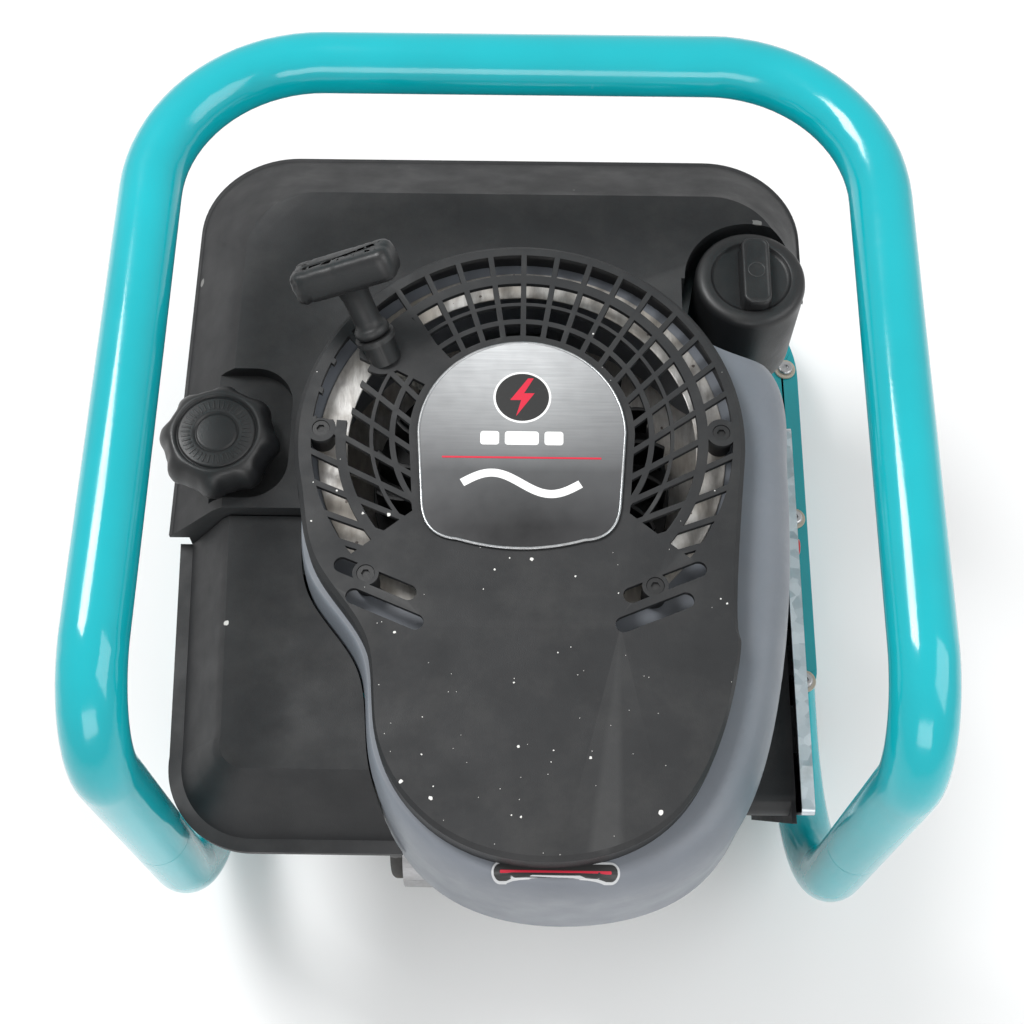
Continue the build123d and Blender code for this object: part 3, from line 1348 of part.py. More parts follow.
BOX_D = 46.0
BOX_TOP = SHROUD_Z - 3.0
BOX_H = BOX_TOP - DECK_TOP
BOX_W = PANEL_W - 8.0
BOX_AT = (ENGINE_X + PANEL_U - PANEL_LIP, PANEL_Y, (BOX_TOP + DECK_TOP) / 2)
BOX_PLANE = Plane(origin=BOX_AT, z_dir=(-1, 0, 0), x_dir=(0, -1, 0))
with BuildPart() as control_box:
    with BuildSketch(BOX_PLANE):
        leaning(1, BOX_W, BOX_H, 10.0)
    extrude(amount=BOX_D)
    fillet(control_box.edges().group_by(Axis.X)[0], 6.0)
    with BuildSketch(BOX_PLANE):
        leaning(1, BOX_W, BOX_H, 7.0, 3.0)
    extrude(amount=BOX_D - 3.0, mode=Mode.SUBTRACT)
    with BuildSketch(BOX_PLANE):
        leaning(1, PANEL_W, BOX_H - 2.0, 0.5)
        leaning(1, BOX_W, BOX_H, 7.0, 1.0, Mode.SUBTRACT)
    extrude(amount=2.5)
save(control_box, "control_box")

INVERTER_D = 24.0
with BuildPart() as inverter:
    with BuildSketch(BOX_PLANE.offset(BOX_D - 3.0)):
        with Locations((-16.0, 0)):
            Rectangle(BOX_W - 80.0, BOX_H - 40.0)
    extrude(amount=-6.0)
    for fin in range(9):
        with BuildSketch(BOX_PLANE.offset(BOX_D - 9.0)):
            with Locations((-80.0 + 16.0 * fin, 0)):
                Rectangle(3.0, BOX_H - 44.0)
        extrude(amount=6.0 - INVERTER_D)
save(inverter, "inverter_module")

with BuildPart() as outlets:
    with BuildSketch(FACE.offset(FASCIA_T)):
        with Locations(*OUTLET_SPOTS):
            RectangleRounded(OUTLET_W, OUTLET_H, 3.0)
    extrude(amount=2.5)
    with BuildSketch(FACE.offset(FASCIA_T)):
        with Locations(*OUTLET_SPOTS):
            Rectangle(OUTLET_W - 6.0, OUTLET_H - 6.0)
    extrude(amount=-SET_DEPTH)
    for u, v in OUTLET_SPOTS:
        with BuildSketch(FACE.offset(FASCIA_T + 2.5)):
            for row in (-18.0, 18.0):
                with Locations((u - 6.4, v + row), (u + 6.4, v + row)):
                    Rectangle(2.2, 8.0)
                with Locations((u, v + row - 9.5)):
                    Circle(2.6)
        extrude(amount=-10.0, mode=Mode.SUBTRACT)
save(outlets, "ac_outlets")

with BuildPart() as dc_socket:
    with BuildSketch(FACE.offset(FASCIA_T)):
        with Locations(DC_SPOT):
            Circle(DC_R)
    extrude(amount=4.0)
    with BuildSketch(FACE.offset(FASCIA_T)):
        with Locations(DC_SPOT):
            Circle(DC_R - 2.0)
    extrude(amount=-SET_DEPTH)
    with BuildSketch(FACE.offset(FASCIA_T + 4.0)):
        with Locations(DC_SPOT):
            Circle(9.0)
    extrude(amount=-10.0, mode=Mode.SUBTRACT)
save(dc_socket, "dc_socket")

with BuildPart() as button:
    with BuildSketch(FACE.offset(FASCIA_T - 5.0)):
        with Locations(BREAKER_SPOT):
            Circle(BUTTON_R)
    extrude(amount=14.0)
    fillet(button.edges().group_by(Axis.X)[-1], 1.0)
save(button, "breaker_button")

ROCKER_AT = FACE.offset(FASCIA_T - 1.0).location * Location((SWITCH_SPOT[0], SWITCH_SPOT[1], 0))
ROCKER_TIP = 12.0
ROCKER_MID = (ROCKER_AT.position.X, PANEL_Y + SWITCH_SPOT[0], ROCKER_AT.position.Z)
ROCKER_SIDE = Plane(origin=ROCKER_MID, z_dir=(0, 1, 0), x_dir=(1, 0, 0))
with BuildPart() as rocker:
    with BuildSketch(ROCKER_SIDE):
        with BuildLine():
            Polyline((-5.0, 5.0), (4.0, ROCKER_TIP), (2.6, 0.0), (4.0, -ROCKER_TIP), (-5.0, -5.0), close=True)
        make_face()
    extrude(amount=(SWITCH_W - 6.0) / 2, both=True)
save(rocker, "engine_switch")

with BuildPart() as lamps:
    with BuildSketch(FACE.offset(-PANEL_LIP)):
        with Locations(*LAMP_SPOTS):
            Circle(LAMP_R)
    extrude(amount=PANEL_LIP + FASCIA_T + 2.0)
    fillet(lamps.edges().group_by(Axis.X)[-1], 1.5)
save(lamps, "pilot_lamps")

with BuildPart() as stud:
    with BuildSketch(FACE.offset(-PANEL_LIP)):
        with Locations(STUD_SPOT):
            Circle(STUD_R)
    extrude(amount=PANEL_LIP + FASCIA_T + 14.0)
    with BuildSketch(FACE.offset(FASCIA_T)):
        with Locations(STUD_SPOT):
            RegularPolygon(5.8, 6)
    extrude(amount=5.0)
save(stud, "ground_terminal")
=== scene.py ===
"""The generator's looks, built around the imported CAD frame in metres."""

import json
import math
import random

import bmesh
import bpy
from mathutils import Matrix, Vector
from mathutils import noise as mnoise
from mathutils.bvhtree import BVHTree


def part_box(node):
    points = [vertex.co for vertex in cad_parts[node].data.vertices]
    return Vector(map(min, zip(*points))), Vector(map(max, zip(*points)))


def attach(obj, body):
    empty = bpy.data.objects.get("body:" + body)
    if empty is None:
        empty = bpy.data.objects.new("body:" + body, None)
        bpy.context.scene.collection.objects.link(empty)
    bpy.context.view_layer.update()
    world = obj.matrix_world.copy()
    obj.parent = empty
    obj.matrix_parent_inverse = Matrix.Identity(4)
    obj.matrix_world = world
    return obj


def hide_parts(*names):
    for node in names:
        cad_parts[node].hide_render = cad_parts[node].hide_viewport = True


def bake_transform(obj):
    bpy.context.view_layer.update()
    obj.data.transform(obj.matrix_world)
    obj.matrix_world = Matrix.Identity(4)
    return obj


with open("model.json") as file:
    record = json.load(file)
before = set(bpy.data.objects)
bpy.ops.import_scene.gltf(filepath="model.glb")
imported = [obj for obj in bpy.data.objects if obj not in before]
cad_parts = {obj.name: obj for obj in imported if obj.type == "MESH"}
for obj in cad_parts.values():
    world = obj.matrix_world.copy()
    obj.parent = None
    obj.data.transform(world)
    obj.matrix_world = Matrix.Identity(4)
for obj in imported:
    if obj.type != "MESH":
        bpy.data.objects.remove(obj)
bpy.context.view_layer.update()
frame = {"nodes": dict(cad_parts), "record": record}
NODES = frame["nodes"]

# ---------------------------------------------------------------- places taken from the frame

COVER_LOW, COVER_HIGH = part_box("blower_cover")
SHAFT_LOW, SHAFT_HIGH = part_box("flywheel")
AXIS = (SHAFT_LOW + SHAFT_HIGH) / 2
LABEL_LOW, LABEL_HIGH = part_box("label_plate")
FUEL_LOW, FUEL_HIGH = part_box("fuel_cap")
OIL_LOW, OIL_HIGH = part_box("oil_cap")
FUEL_AT = (FUEL_LOW + FUEL_HIGH) / 2
OIL_AT = (OIL_LOW + OIL_HIGH) / 2


# ---------------------------------------------------------------- node material helpers


class Paint:
    """A Principled material with short calls for the nodes it is made of."""

    def __init__(self, name):
        self.material = bpy.data.materials.new(name)
        self.material.use_nodes = True
        self.tree = self.material.node_tree
        self.tree.nodes.clear()
        self.out = self.tree.nodes.new("ShaderNodeOutputMaterial")
        self.shader = self.tree.nodes.new("ShaderNodeBsdfPrincipled")
        self.tree.links.new(self.shader.outputs[0], self.out.inputs[0])
        self.place = self.tree.nodes.new("ShaderNodeTexCoord").outputs["Object"]

    def link(self, source, target):
        """Link a socket, or set a plain value."""
        if isinstance(source, (int, float)):
            target.default_value = source
        elif isinstance(source, tuple):
            target.default_value = (*source[:3], 1.0) if len(target.default_value) == 4 else source
        else:
            self.tree.links.new(source, target)

    def stretched(self, scale):
        """Object coordinates scaled by a vector."""
        node = self.tree.nodes.new("ShaderNodeMapping")
        node.inputs["Scale"].default_value = scale
        self.tree.links.new(self.place, node.inputs["Vector"])
        return node.outputs[0]

    def noise(self, scale, detail=4.0, rough=0.55, place=None):
        node = self.tree.nodes.new("ShaderNodeTexNoise")
        node.inputs["Scale"].default_value = scale
        node.inputs["Detail"].default_value = detail
        node.inputs["Roughness"].default_value = rough
        self.tree.links.new(place or self.place, node.inputs["Vector"])
        return node.outputs["Fac"]

    def cells(self, scale, output="Distance", feature="F1", place=None):
        node = self.tree.nodes.new("ShaderNodeTexVoronoi")
        node.feature = feature
        node.inputs["Scale"].default_value = scale
        self.tree.links.new(place or self.place, node.inputs["Vector"])
        return node.outputs[output]

    def span(self, value, low, high, to_low=0.0, to_high=1.0):
        """Map a value's stretch onto another, clamped."""
        node = self.tree.nodes.new("ShaderNodeMapRange")
        for socket, number in zip(node.inputs, (value, low, high, to_low, to_high)):
            self.link(number, socket)
        return node.outputs[0]

    def maths(self, operation, first, second=0.5):
        node = self.tree.nodes.new("ShaderNodeMath")
        node.operation = operation
        self.link(first, node.inputs[0])
        self.link(second, node.inputs[1])
        return node.outputs[0]

    def mix(self, amount, first, second):
        """Blend two colours."""
        node = self.tree.nodes.new("ShaderNodeMix")
        node.data_type = "RGBA"
        self.link(amount, node.inputs["Factor"])
        self.link(first, node.inputs["A"])
        self.link(second, node.inputs["B"])
        return node.outputs["Result"]

    def axis(self, letter):
        node = self.tree.nodes.new("ShaderNodeSeparateXYZ")
        self.tree.links.new(self.place, node.inputs[0])
        return node.outputs[letter]

    def facing_up(self):
        """How far a surface faces up, from its true normal."""
        node = self.tree.nodes.new("ShaderNodeNewGeometry")
        parts = self.tree.nodes.new("ShaderNodeSeparateXYZ")
        self.tree.links.new(node.outputs["Normal"], parts.inputs[0])
        return parts.outputs["Z"]

    def edges(self):
        """Bright on worn outside edges."""
        node = self.tree.nodes.new("ShaderNodeNewGeometry")
        return self.span(node.outputs["Pointiness"], 0.52, 0.6)

    def bump(self, height, strength, distance, after=None):
        node = self.tree.nodes.new("ShaderNodeBump")
        node.inputs["Strength"].default_value = strength
        node.inputs["Distance"].default_value = distance
        self.tree.links.new(height, node.inputs["Height"])
        if after is not None:
            self.tree.links.new(after, node.inputs["Normal"])
        return node.outputs[0]

    def done(self, colour, rough, normal=None, metal=0.0, **plain):
        self.link(colour, self.shader.inputs["Base Color"])
        self.link(rough, self.shader.inputs["Roughness"])
        self.link(metal, self.shader.inputs["Metallic"])
        if normal is not None:
            self.link(normal, self.shader.inputs["Normal"])
        for name, value in plain.items():
            self.link(value, self.shader.inputs[name.replace("_", " ")])
        return self.material


def specks(p, scale, share, size, reach=None):
    """Scattered dots: 1 inside a dot, 0 outside, thinned to a share of the cells."""
    distance = p.cells(scale)
    chance = p.cells(scale, "Color")
    pick = p.maths("GREATER_THAN", chance, 1.0 - share)
    wobble = p.maths("MULTIPLY", p.noise(scale * 2.5, 2.0), size)
    dot = p.maths("LESS_THAN", distance, wobble)
    both = p.maths("MULTIPLY", pick, dot)
    return p.maths("MULTIPLY", both, reach) if reach is not None else both


# ---------------------------------------------------------------- materials


def painted_tube(name, colour):
    """Gloss enamel with orange peel, fine dust and a few chips to the primer."""
    p = Paint(name)
    broad = p.noise(9.0, 5.0)
    tone = p.mix(p.span(broad, 0.35, 0.7), colour, tuple(c * 0.88 for c in colour))
    scuffs = p.span(p.noise(60.0, 8.0, 0.7, p.stretched((1.0, 0.25, 1.0))), 0.68, 0.80, 0.0, 0.25)
    tone = p.mix(scuffs, tone, (0.35, 0.62, 0.64))
    chips = specks(p, 55.0, 0.05, 0.16)
    tone = p.mix(chips, tone, (0.75, 0.80, 0.80))
    dark = specks(p, 38.0, 0.06, 0.14)
    tone = p.mix(dark, tone, (0.02, 0.05, 0.05))
    rough = p.span(p.noise(26.0, 6.0), 0.3, 0.75, 0.10, 0.24)
    peel = p.bump(p.noise(420.0, 2.0), 0.06, 0.0006)
    return p.done(tone, rough, peel, Coat_Weight=0.3, Coat_Roughness=0.08)


def textured_plastic(name, colour, rough, dust, paint_specks=False, grain=0.35):
    """Moulded plastic with a fine grain, dust on upward faces, pale scuffs and, where asked, paint specks.
    """
    p = Paint(name)
    mottled = p.span(p.noise(14.0, 8.0, 0.62), 0.35, 0.75)
    tone = p.mix(mottled, colour, tuple(c * 1.18 + 0.0006 for c in colour))
    fine = p.noise(1500.0, 3.0)
    dusty = p.maths("MULTIPLY", p.span(p.noise(34.0, 9.0, 0.7), 0.45, 0.8), p.span(p.facing_up(), 0.2, 1.0))
    tone = p.mix(p.maths("MULTIPLY", dusty, dust), tone, (0.24, 0.23, 0.21))
    scratch = p.span(p.noise(90.0, 6.0, 0.7, p.stretched((6.0, 0.5, 1.0))), 0.70, 0.80, 0.0, 0.25)
    tone = p.mix(p.maths("MULTIPLY", scratch, 0.25), tone, (0.10, 0.10, 0.10))
    tone = p.mix(p.maths("MULTIPLY", p.edges(), 0.25), tone, (0.08, 0.08, 0.08))
    if paint_specks:
        front = p.span(p.axis("Y"), 0.06, -0.10, 0.25, 1.0)
        for scale, share, size in ((42.0, 0.10, 0.30), (120.0, 0.07, 0.32), (260.0, 0.05, 0.34)):
            tone = p.mix(specks(p, scale, share, size, front), tone, (0.72, 0.71, 0.68))
    roughness = p.span(p.noise(40.0, 6.0), 0.3, 0.7, rough - 0.08, rough + 0.1)
    normal = p.bump(fine, grain, 0.0003)
    return p.done(tone, roughness, normal)


def rubber(name, colour):
    """Dull rubber with bloom and small pits."""
    p = Paint(name)
    bloom = p.span(p.noise(45.0, 7.0, 0.65), 0.4, 0.75, 0.0, 0.4)
    tone = p.mix(bloom, colour, tuple(c * 1.6 + 0.02 for c in colour))
    tone = p.mix(specks(p, 240.0, 0.12, 0.3), tone, (0.2, 0.19, 0.17))
    return p.done(tone, p.span(bloom, 0.0, 0.4, 0.72, 0.88), p.bump(p.noise(700.0, 4.0), 0.4, 0.0004))


def bare_metal(name, colour, rough, stain, brushed=(1.0, 1.0, 1.0), metal=1.0, cast=0.0):
    """Bare or plated metal with brush marks or a cast skin, stains and grime."""
    p = Paint(name)
    marks = p.noise(320.0, 5.0, 0.6, p.stretched(brushed))
    tone = p.mix(p.span(marks, 0.3, 0.7), colour, tuple(c * 0.78 for c in colour))
    grime = p.span(p.noise(38.0, 9.0, 0.7), 0.48, 0.72)
    tone = p.mix(p.maths("MULTIPLY", grime, stain), tone, (0.13, 0.105, 0.08))
    tone = p.mix(specks(p, 150.0, 0.1, 0.3), tone, tuple(c * 0.45 for c in colour))
    roughness = p.span(grime, 0.0, 1.0, rough, min(rough + 0.35, 0.95))
    skin = p.bump(p.noise(650.0 if cast else 900.0, 5.0), 0.15 + cast, 0.0004)
    return p.done(tone, roughness, skin, p.span(grime, 0.0, 1.0, metal, metal * 0.6))


def galvanised(name):
    """Hot-dip zinc with a spangle of flat crystals."""
    p = Paint(name)
    crystal = p.cells(170.0, "Color")
    light = p.span(crystal, 0.0, 1.0, 0.0, 1.0)
    tone = p.mix(light, (0.42, 0.46, 0.49), (0.80, 0.84, 0.87))
    small = p.span(p.cells(520.0, "Color"), 0.0, 1.0, 0.0, 0.45)
    tone = p.mix(small, tone, (0.60, 0.64, 0.67))
    tone = p.mix(p.span(p.noise(50.0, 7.0), 0.55, 0.75, 0.0, 0.5), tone, (0.30, 0.29, 0.27))
    return p.done(tone, p.span(light, 0.0, 1.0, 0.28, 0.5), p.bump(crystal, 0.25, 0.0002), 0.9)


def dusty_plate(name):
    """Blower sheet metal under years of tan dust, wiped bright in patches."""
    p = Paint(name)
    wiped = p.span(p.noise(30.0, 6.0, 0.6), 0.42, 0.62)
    streak = p.span(p.noise(120.0, 5.0, 0.6, p.stretched((3.0, 0.7, 1.0))), 0.4, 0.7)
    tone = p.mix(wiped, (0.40, 0.37, 0.33), (0.62, 0.61, 0.59))
    tone = p.mix(p.maths("MULTIPLY", streak, 0.5), tone, (0.20, 0.18, 0.16))
    tone = p.mix(specks(p, 210.0, 0.2, 0.35), tone, (0.12, 0.10, 0.09))
    rough = p.span(wiped, 0.0, 1.0, 0.75, 0.4)
    streaks = p.bump(streak, 0.2, 0.0004)
    return p.done(tone, rough, streaks, p.span(wiped, 0.0, 1.0, 0.1, 0.55))


def label_print(name):
    """The label's printed fade, from bright silver at the back to black at the front, with painted shade
    darkening it towards both sides.
    """
    p = Paint(name)
    run = p.span(p.axis("Y"), LABEL_LOW.y, LABEL_HIGH.y)
    brushed = p.noise(900.0, 4.0, 0.6, p.stretched((0.04, 1.0, 1.0)))
    bright = p.mix(p.span(brushed, 0.3, 0.7), (0.60, 0.61, 0.62), (0.74, 0.75, 0.76))
    tone = p.mix(p.span(run, 0.10, 0.40), (0.012, 0.012, 0.013), (0.09, 0.092, 0.095))
    tone = p.mix(p.span(run, 0.36, 0.98), tone, bright)
    # Painted shade: the label's colour darkens towards its left and right sides.
    side = p.maths("ABSOLUTE", p.maths("SUBTRACT", p.axis("X"), (LABEL_LOW.x + LABEL_HIGH.x) / 2))
    painted_side_shade = p.maths("MULTIPLY", p.span(side, 0.010, 0.056), 0.35)
    tone = p.mix(painted_side_shade, tone, (0.10, 0.10, 0.105))
    tone = p.mix(specks(p, 260.0, 0.05, 0.25), tone, (0.30, 0.29, 0.27))
    rough = p.span(p.noise(80.0, 5.0), 0.3, 0.7, 0.28, 0.42)
    brush_marks = p.bump(brushed, 0.05, 0.0001)
    return p.done(tone, rough, brush_marks, p.span(run, 0.3, 0.9, 0.0, 0.55))


def copper_wire(name):
    """Enamelled winding wire."""
    p = Paint(name)
    turns = p.noise(380.0, 3.0, 0.5, p.stretched((1.0, 1.0, 6.0)))
    tone = p.mix(p.span(turns, 0.35, 0.65), (0.42, 0.16, 0.06), (0.70, 0.33, 0.15))
    return p.done(tone, p.span(turns, 0.3, 0.7, 0.22, 0.4), p.bump(turns, 0.8, 0.0006), 0.8)


def foam(name):
    """Open-cell filter foam."""
    p = Paint(name)
    pores = p.cells(480.0)
    tone = p.mix(p.span(pores, 0.1, 0.6), (0.01, 0.01, 0.01), (0.10, 0.10, 0.105))
    return p.done(tone, p.span(pores, 0.0, 0.6, 0.85, 0.98), p.bump(pores, 0.9, 0.001))


def braid(name):
    """Braided starter rope."""
    p = Paint(name)
    weave = p.cells(520.0, place=p.stretched((1.0, 1.0, 0.5)))
    tone = p.mix(p.span(weave, 0.1, 0.6), (0.22, 0.21, 0.19), (0.62, 0.60, 0.55))
    return p.done(tone, p.span(weave, 0.0, 0.6, 0.7, 0.9), p.bump(weave, 0.8, 0.0006))


def tinted_lens(name, colour):
    """A tinted pilot lamp."""
    p = Paint(name)
    swirl = p.noise(220.0, 3.0)
    tone = p.mix(p.span(swirl, 0.35, 0.7), colour, tuple(c * 0.6 for c in colour))
    rough = p.span(swirl, 0.3, 0.7, 0.06, 0.16)
    return p.done(tone, rough, p.bump(swirl, 0.05, 0.0002), Transmission_Weight=0.5)


TEAL = (0.0, 0.40, 0.46)
BLACK = (0.0095, 0.0100, 0.0112)
TRIM = (0.0070, 0.0073, 0.0080)
SKINS = {
    "teal_paint": painted_tube("teal enamel", TEAL),
    # The deck plate takes the frame's teal enamel darkened to about 0.72 of TEAL: painted shade, not a
    # second paint.
    "deck_paint": painted_tube("deck enamel in painted shade", (0.0, 0.29, 0.33)),
    "black_cover": textured_plastic("black textured cover", BLACK, 0.60, 0.07, True),
    "black_trim": textured_plastic("black moulded trim", TRIM, 0.42, 0.05, grain=0.2),
    "grey_cover": textured_plastic("grey shroud plastic", (0.165, 0.180, 0.205), 0.44, 0.10, grain=0.1),
    "black_rubber": rubber("black rubber", (0.015, 0.015, 0.016)),
    "tan_rubber": rubber("tan rubber", (0.36, 0.33, 0.27)),
    "zinc": bare_metal("zinc plate", (0.52, 0.53, 0.54), 0.30, 0.4),
    "galvanised": galvanised("galvanised sheet"),
    "dusty_steel": dusty_plate("dusty blower plate"),
    "cast_aluminium": bare_metal("cast aluminium", (0.50, 0.50, 0.49), 0.45, 0.5, cast=0.4),
    "steel": bare_metal("turned steel", (0.45, 0.45, 0.46), 0.28, 0.35, (1.0, 1.0, 8.0)),
    "iron": bare_metal("laminated iron", (0.16, 0.155, 0.15), 0.5, 0.5, (1.0, 1.0, 12.0)),
    "copper": copper_wire("enamelled copper"),
    "label": label_print("label print"),
    "rope": braid("starter braid"),
    "foam": foam("filter foam"),
    "brass": bare_metal("brass stud", (0.62, 0.43, 0.16), 0.3, 0.3),
    "outlet": textured_plastic("gloss black outlet", (0.012, 0.012, 0.013), 0.22, 0.1, grain=0.05),
    "red": textured_plastic("red switch plastic", (0.42, 0.02, 0.02), 0.3, 0.1, grain=0.05),
    "lamp": tinted_lens("green pilot lens", (0.10, 0.65, 0.20)),
    "ceramic": textured_plastic("plug ceramic", (0.70, 0.69, 0.66), 0.2, 0.1, grain=0.03),
    "heat_paint": bare_metal("heat-proof paint", (0.06, 0.058, 0.056), 0.7, 0.6, metal=0.3),
}
SLOT_OF = {entry["node"]: entry["material_slot"] for entry in frame["record"]["subparts"]}

# ---------------------------------------------------------------- carried-over CAD nodes

ROUNDED = {
    "fuel_tank": 0.0022,
    "side_cover_left": 0.0022,
    "engine_shroud": 0.0012,
    "blower_cover": 0.0007,
    "control_box": 0.0010,
    "starter_handle": 0.0016,
    "fuel_cap": 0.0012,
    "oil_cap": 0.0012,
    "label_plate": 0.0004,
    "control_panel": 0.0005,
    "cooling_fan": 0.0004,
}
DEFAULT_ROUND = 0.0005
SHARP_ANGLE = math.radians(30)


def soften(piece, width):
    """Round a CAD piece's edges with modifiers alone, so its mesh stays as it is."""
    weld = piece.modifiers.new("weld", "WELD")
    weld.merge_threshold = 0.00001
    bevel = piece.modifiers.new("rounded edges", "BEVEL")
    bevel.width = width
    bevel.segments = 2
    bevel.limit_method = "ANGLE"
    bevel.angle_limit = SHARP_ANGLE
    bevel.use_clamp_overlap = True
    bevel.harden_normals = False
    normals = piece.modifiers.new("even shading", "WEIGHTED_NORMAL")
    normals.keep_sharp = False
    normals.weight = 80


for node, piece in NODES.items():
    piece.data.materials.clear()
    piece.data.materials.append(SKINS[SLOT_OF[node]])
    soften(piece, ROUNDED.get(node, DEFAULT_ROUND))

# ---------------------------------------------------------------- mesh helpers


def make_piece(name, mesh_builder, body, slot, skin=None, smooth=True):
    """Turn a bmesh into a piece that rides on a body and takes a record finish."""
    mesh = bpy.data.meshes.new(name)
    bmesh.ops.recalc_face_normals(mesh_builder, faces=mesh_builder.faces)
    mesh_builder.to_mesh(mesh)
    mesh_builder.free()
    for face in mesh.polygons:
        face.use_smooth = smooth
    piece = bpy.data.objects.new(name, mesh)
    bpy.context.scene.collection.objects.link(piece)
    mesh.materials.append(skin or SKINS[slot])
    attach(piece, body)
    return piece


def lathe(shape, profile, centre, segments=160, flute=None):
    """Turn a profile of radius and height about a vertical line; the ends close to a point."""
    rings = []
    for radius, height in profile:
        if radius < 1e-6:
            rings.append([shape.verts.new((centre[0], centre[1], height))])
            continue
        ring = []
        for k in range(segments):
            turn = math.tau * k / segments
            reach = radius * (flute(turn, radius, height) if flute else 1.0)
            x = centre[0] + reach * math.cos(turn)
            y = centre[1] + reach * math.sin(turn)
            ring.append(shape.verts.new((x, y, height)))
        rings.append(ring)
    for lower, upper in zip(rings, rings[1:]):
        for k in range(segments):
            following = (k + 1) % segments
            if len(lower) == 1:
                shape.faces.new((lower[0], upper[k], upper[following]))
            elif len(upper) == 1:
                shape.faces.new((lower[k], lower[following], upper[0]))
            else:
                shape.faces.new((lower[k], lower[following], upper[following], upper[k]))


def rounded_rectangle(width, depth, corner, steps=8):
    """Points round a rectangle with rounded corners."""
    points = []
    for quarter, (sx, sy) in enumerate(((1, 1), (-1, 1), (-1, -1), (1, -1))):
        for k in range(steps + 1):
            turn = math.radians(90 * quarter + 90 * k / steps)
            points.append((
                sx * (width / 2 - corner) + corner * math.cos(turn),
                sy * (depth / 2 - corner) + corner * math.sin(turn),
            ))
    return points


def prism(shape, layers, frame_matrix):
    """Close a stack of outlines, each a list of points at a height, in a matrix's frame."""
    rings = []
    for points, height in layers:
        rings.append([shape.verts.new(frame_matrix @ Vector((x, y, height))) for x, y in points])
    count = len(rings[0])
    for lower, upper in zip(rings, rings[1:]):
        for k in range(count):
            following = (k + 1) % count
            shape.faces.new((lower[k], lower[following], upper[following], upper[k]))
    shape.faces.new(rings[0])
    shape.faces.new(rings[-1])


def grown(points, amount):
    """Outline points moved outward along their own normals."""
    moved = []
    count = len(points)
    for k, (x, y) in enumerate(points):
        before, after = points[k - 1], points[(k + 1) % count]
        run = Vector((after[0] - before[0], after[1] - before[1]))
        side = Vector((run.y, -run.x)).normalized() if run.length > 1e-9 else Vector((0, 0))
        moved.append((x + side.x * amount, y + side.y * amount))
    return moved


def slab(shape, points, low, high, frame_matrix=Matrix(), edge=0.0):
    """A flat shape with its top edge bevelled."""
    layers = [(points, low)]
    if edge:
        layers.append((points, high - edge))
        layers.append((grown(points, -edge * 0.4), high - edge * 0.25))
        layers.append((grown(points, -edge), high))
    else:
        layers.append((points, high))
    prism(shape, layers, frame_matrix)


def tube_curve(name, points, radius, body, slot, skin=None, closed=False):
    """A round rod along points."""
    curve = bpy.data.curves.new(name, "CURVE")
    curve.dimensions = "3D"
    curve.bevel_depth = radius
    curve.bevel_resolution = 3
    curve.use_fill_caps = not closed
    spline = curve.splines.new("POLY")
    spline.points.add(len(points) - 1)
    for control, place in zip(spline.points, points):
        control.co = (*place, 1.0)
    spline.use_cyclic_u = closed
    piece = bpy.data.objects.new(name, curve)
    bpy.context.scene.collection.objects.link(piece)
    curve.materials.append(skin or SKINS[slot])
    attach(piece, body)


# ---------------------------------------------------------------- label art

LABEL_R = (LABEL_HIGH.x - LABEL_LOW.x) / 2
LABEL_AT = Vector(((LABEL_LOW.x + LABEL_HIGH.x) / 2, LABEL_HIGH.y - LABEL_R))
LABEL_TOP = LABEL_HIGH.z
ART_T = 0.00018
ARCH_STEPS = 48


def label_edge(margin):
    """Points round the label's arch and its rounded foot."""
    reach = LABEL_R + margin
    foot = LABEL_LOW.y - LABEL_AT.y - margin
    points = []
    for k in range(ARCH_STEPS + 1):
        turn = math.radians(180 * k / ARCH_STEPS)
        points.append((reach * math.cos(turn), reach * math.sin(turn)))
    corner = 0.022 + margin
    shoulder = foot + 0.005
    for side in (-1, 1):
        bend = []
        for k in range(13):
            t = k / 12
            start = Vector((reach - 0.003, shoulder + corner))
            knee = Vector((reach - 0.004, shoulder + 0.001))
            end = Vector((reach - corner, shoulder))
            spot = start * (1 - t) ** 2 + knee * 2 * t * (1 - t) + end * t * t
            bend.append((side * spot.x, spot.y))
        if side == 1:
            bend.reverse()
            half = reach - corner
            for k in range(1, 16):
                x = half * (k / 8 - 1)
                points.append((x, shoulder - (shoulder - foot) * (1 - (x / half) ** 2)))
        points += bend
    return [(LABEL_AT.x + x, LABEL_AT.y + y) for x, y in points]


def printed_ink(name, colour, rough):
    """Ink, or a splash of paint, with fine wear."""
    p = Paint(name)
    worn = p.span(p.noise(700.0, 5.0), 0.62, 0.74, 0.0, 0.5)
    tone = p.mix(worn, colour, tuple(c * 0.6 + 0.03 for c in colour))
    return p.done(tone, p.span(worn, 0.0, 0.5, rough, rough + 0.15), p.bump(worn, 0.1, 0.0001))


WHITE_INK = printed_ink("white ink", (0.86, 0.86, 0.85), 0.4)
RED_INK = printed_ink("red ink", (0.62, 0.015, 0.045), 0.35)
BLACK_INK = printed_ink("black ink", (0.02, 0.02, 0.02), 0.35)


def art(name, outline, skin, lift=0.0):
    """One printed shape, drawn about the label's middle in millimetres."""
    shape = bmesh.new()
    points = [(LABEL_AT.x + x / 1000, LABEL_AT.y + y / 1000) for x, y in outline]
    slab(shape, points, LABEL_TOP - 0.0001, LABEL_TOP + ART_T + lift)
    return make_piece(name, shape, "frame", "label", skin, smooth=False)


def bar_outline(x, y, width, height, corner):
    return [(x + u, y + v) for u, v in rounded_rectangle(width, height, corner, 4)]


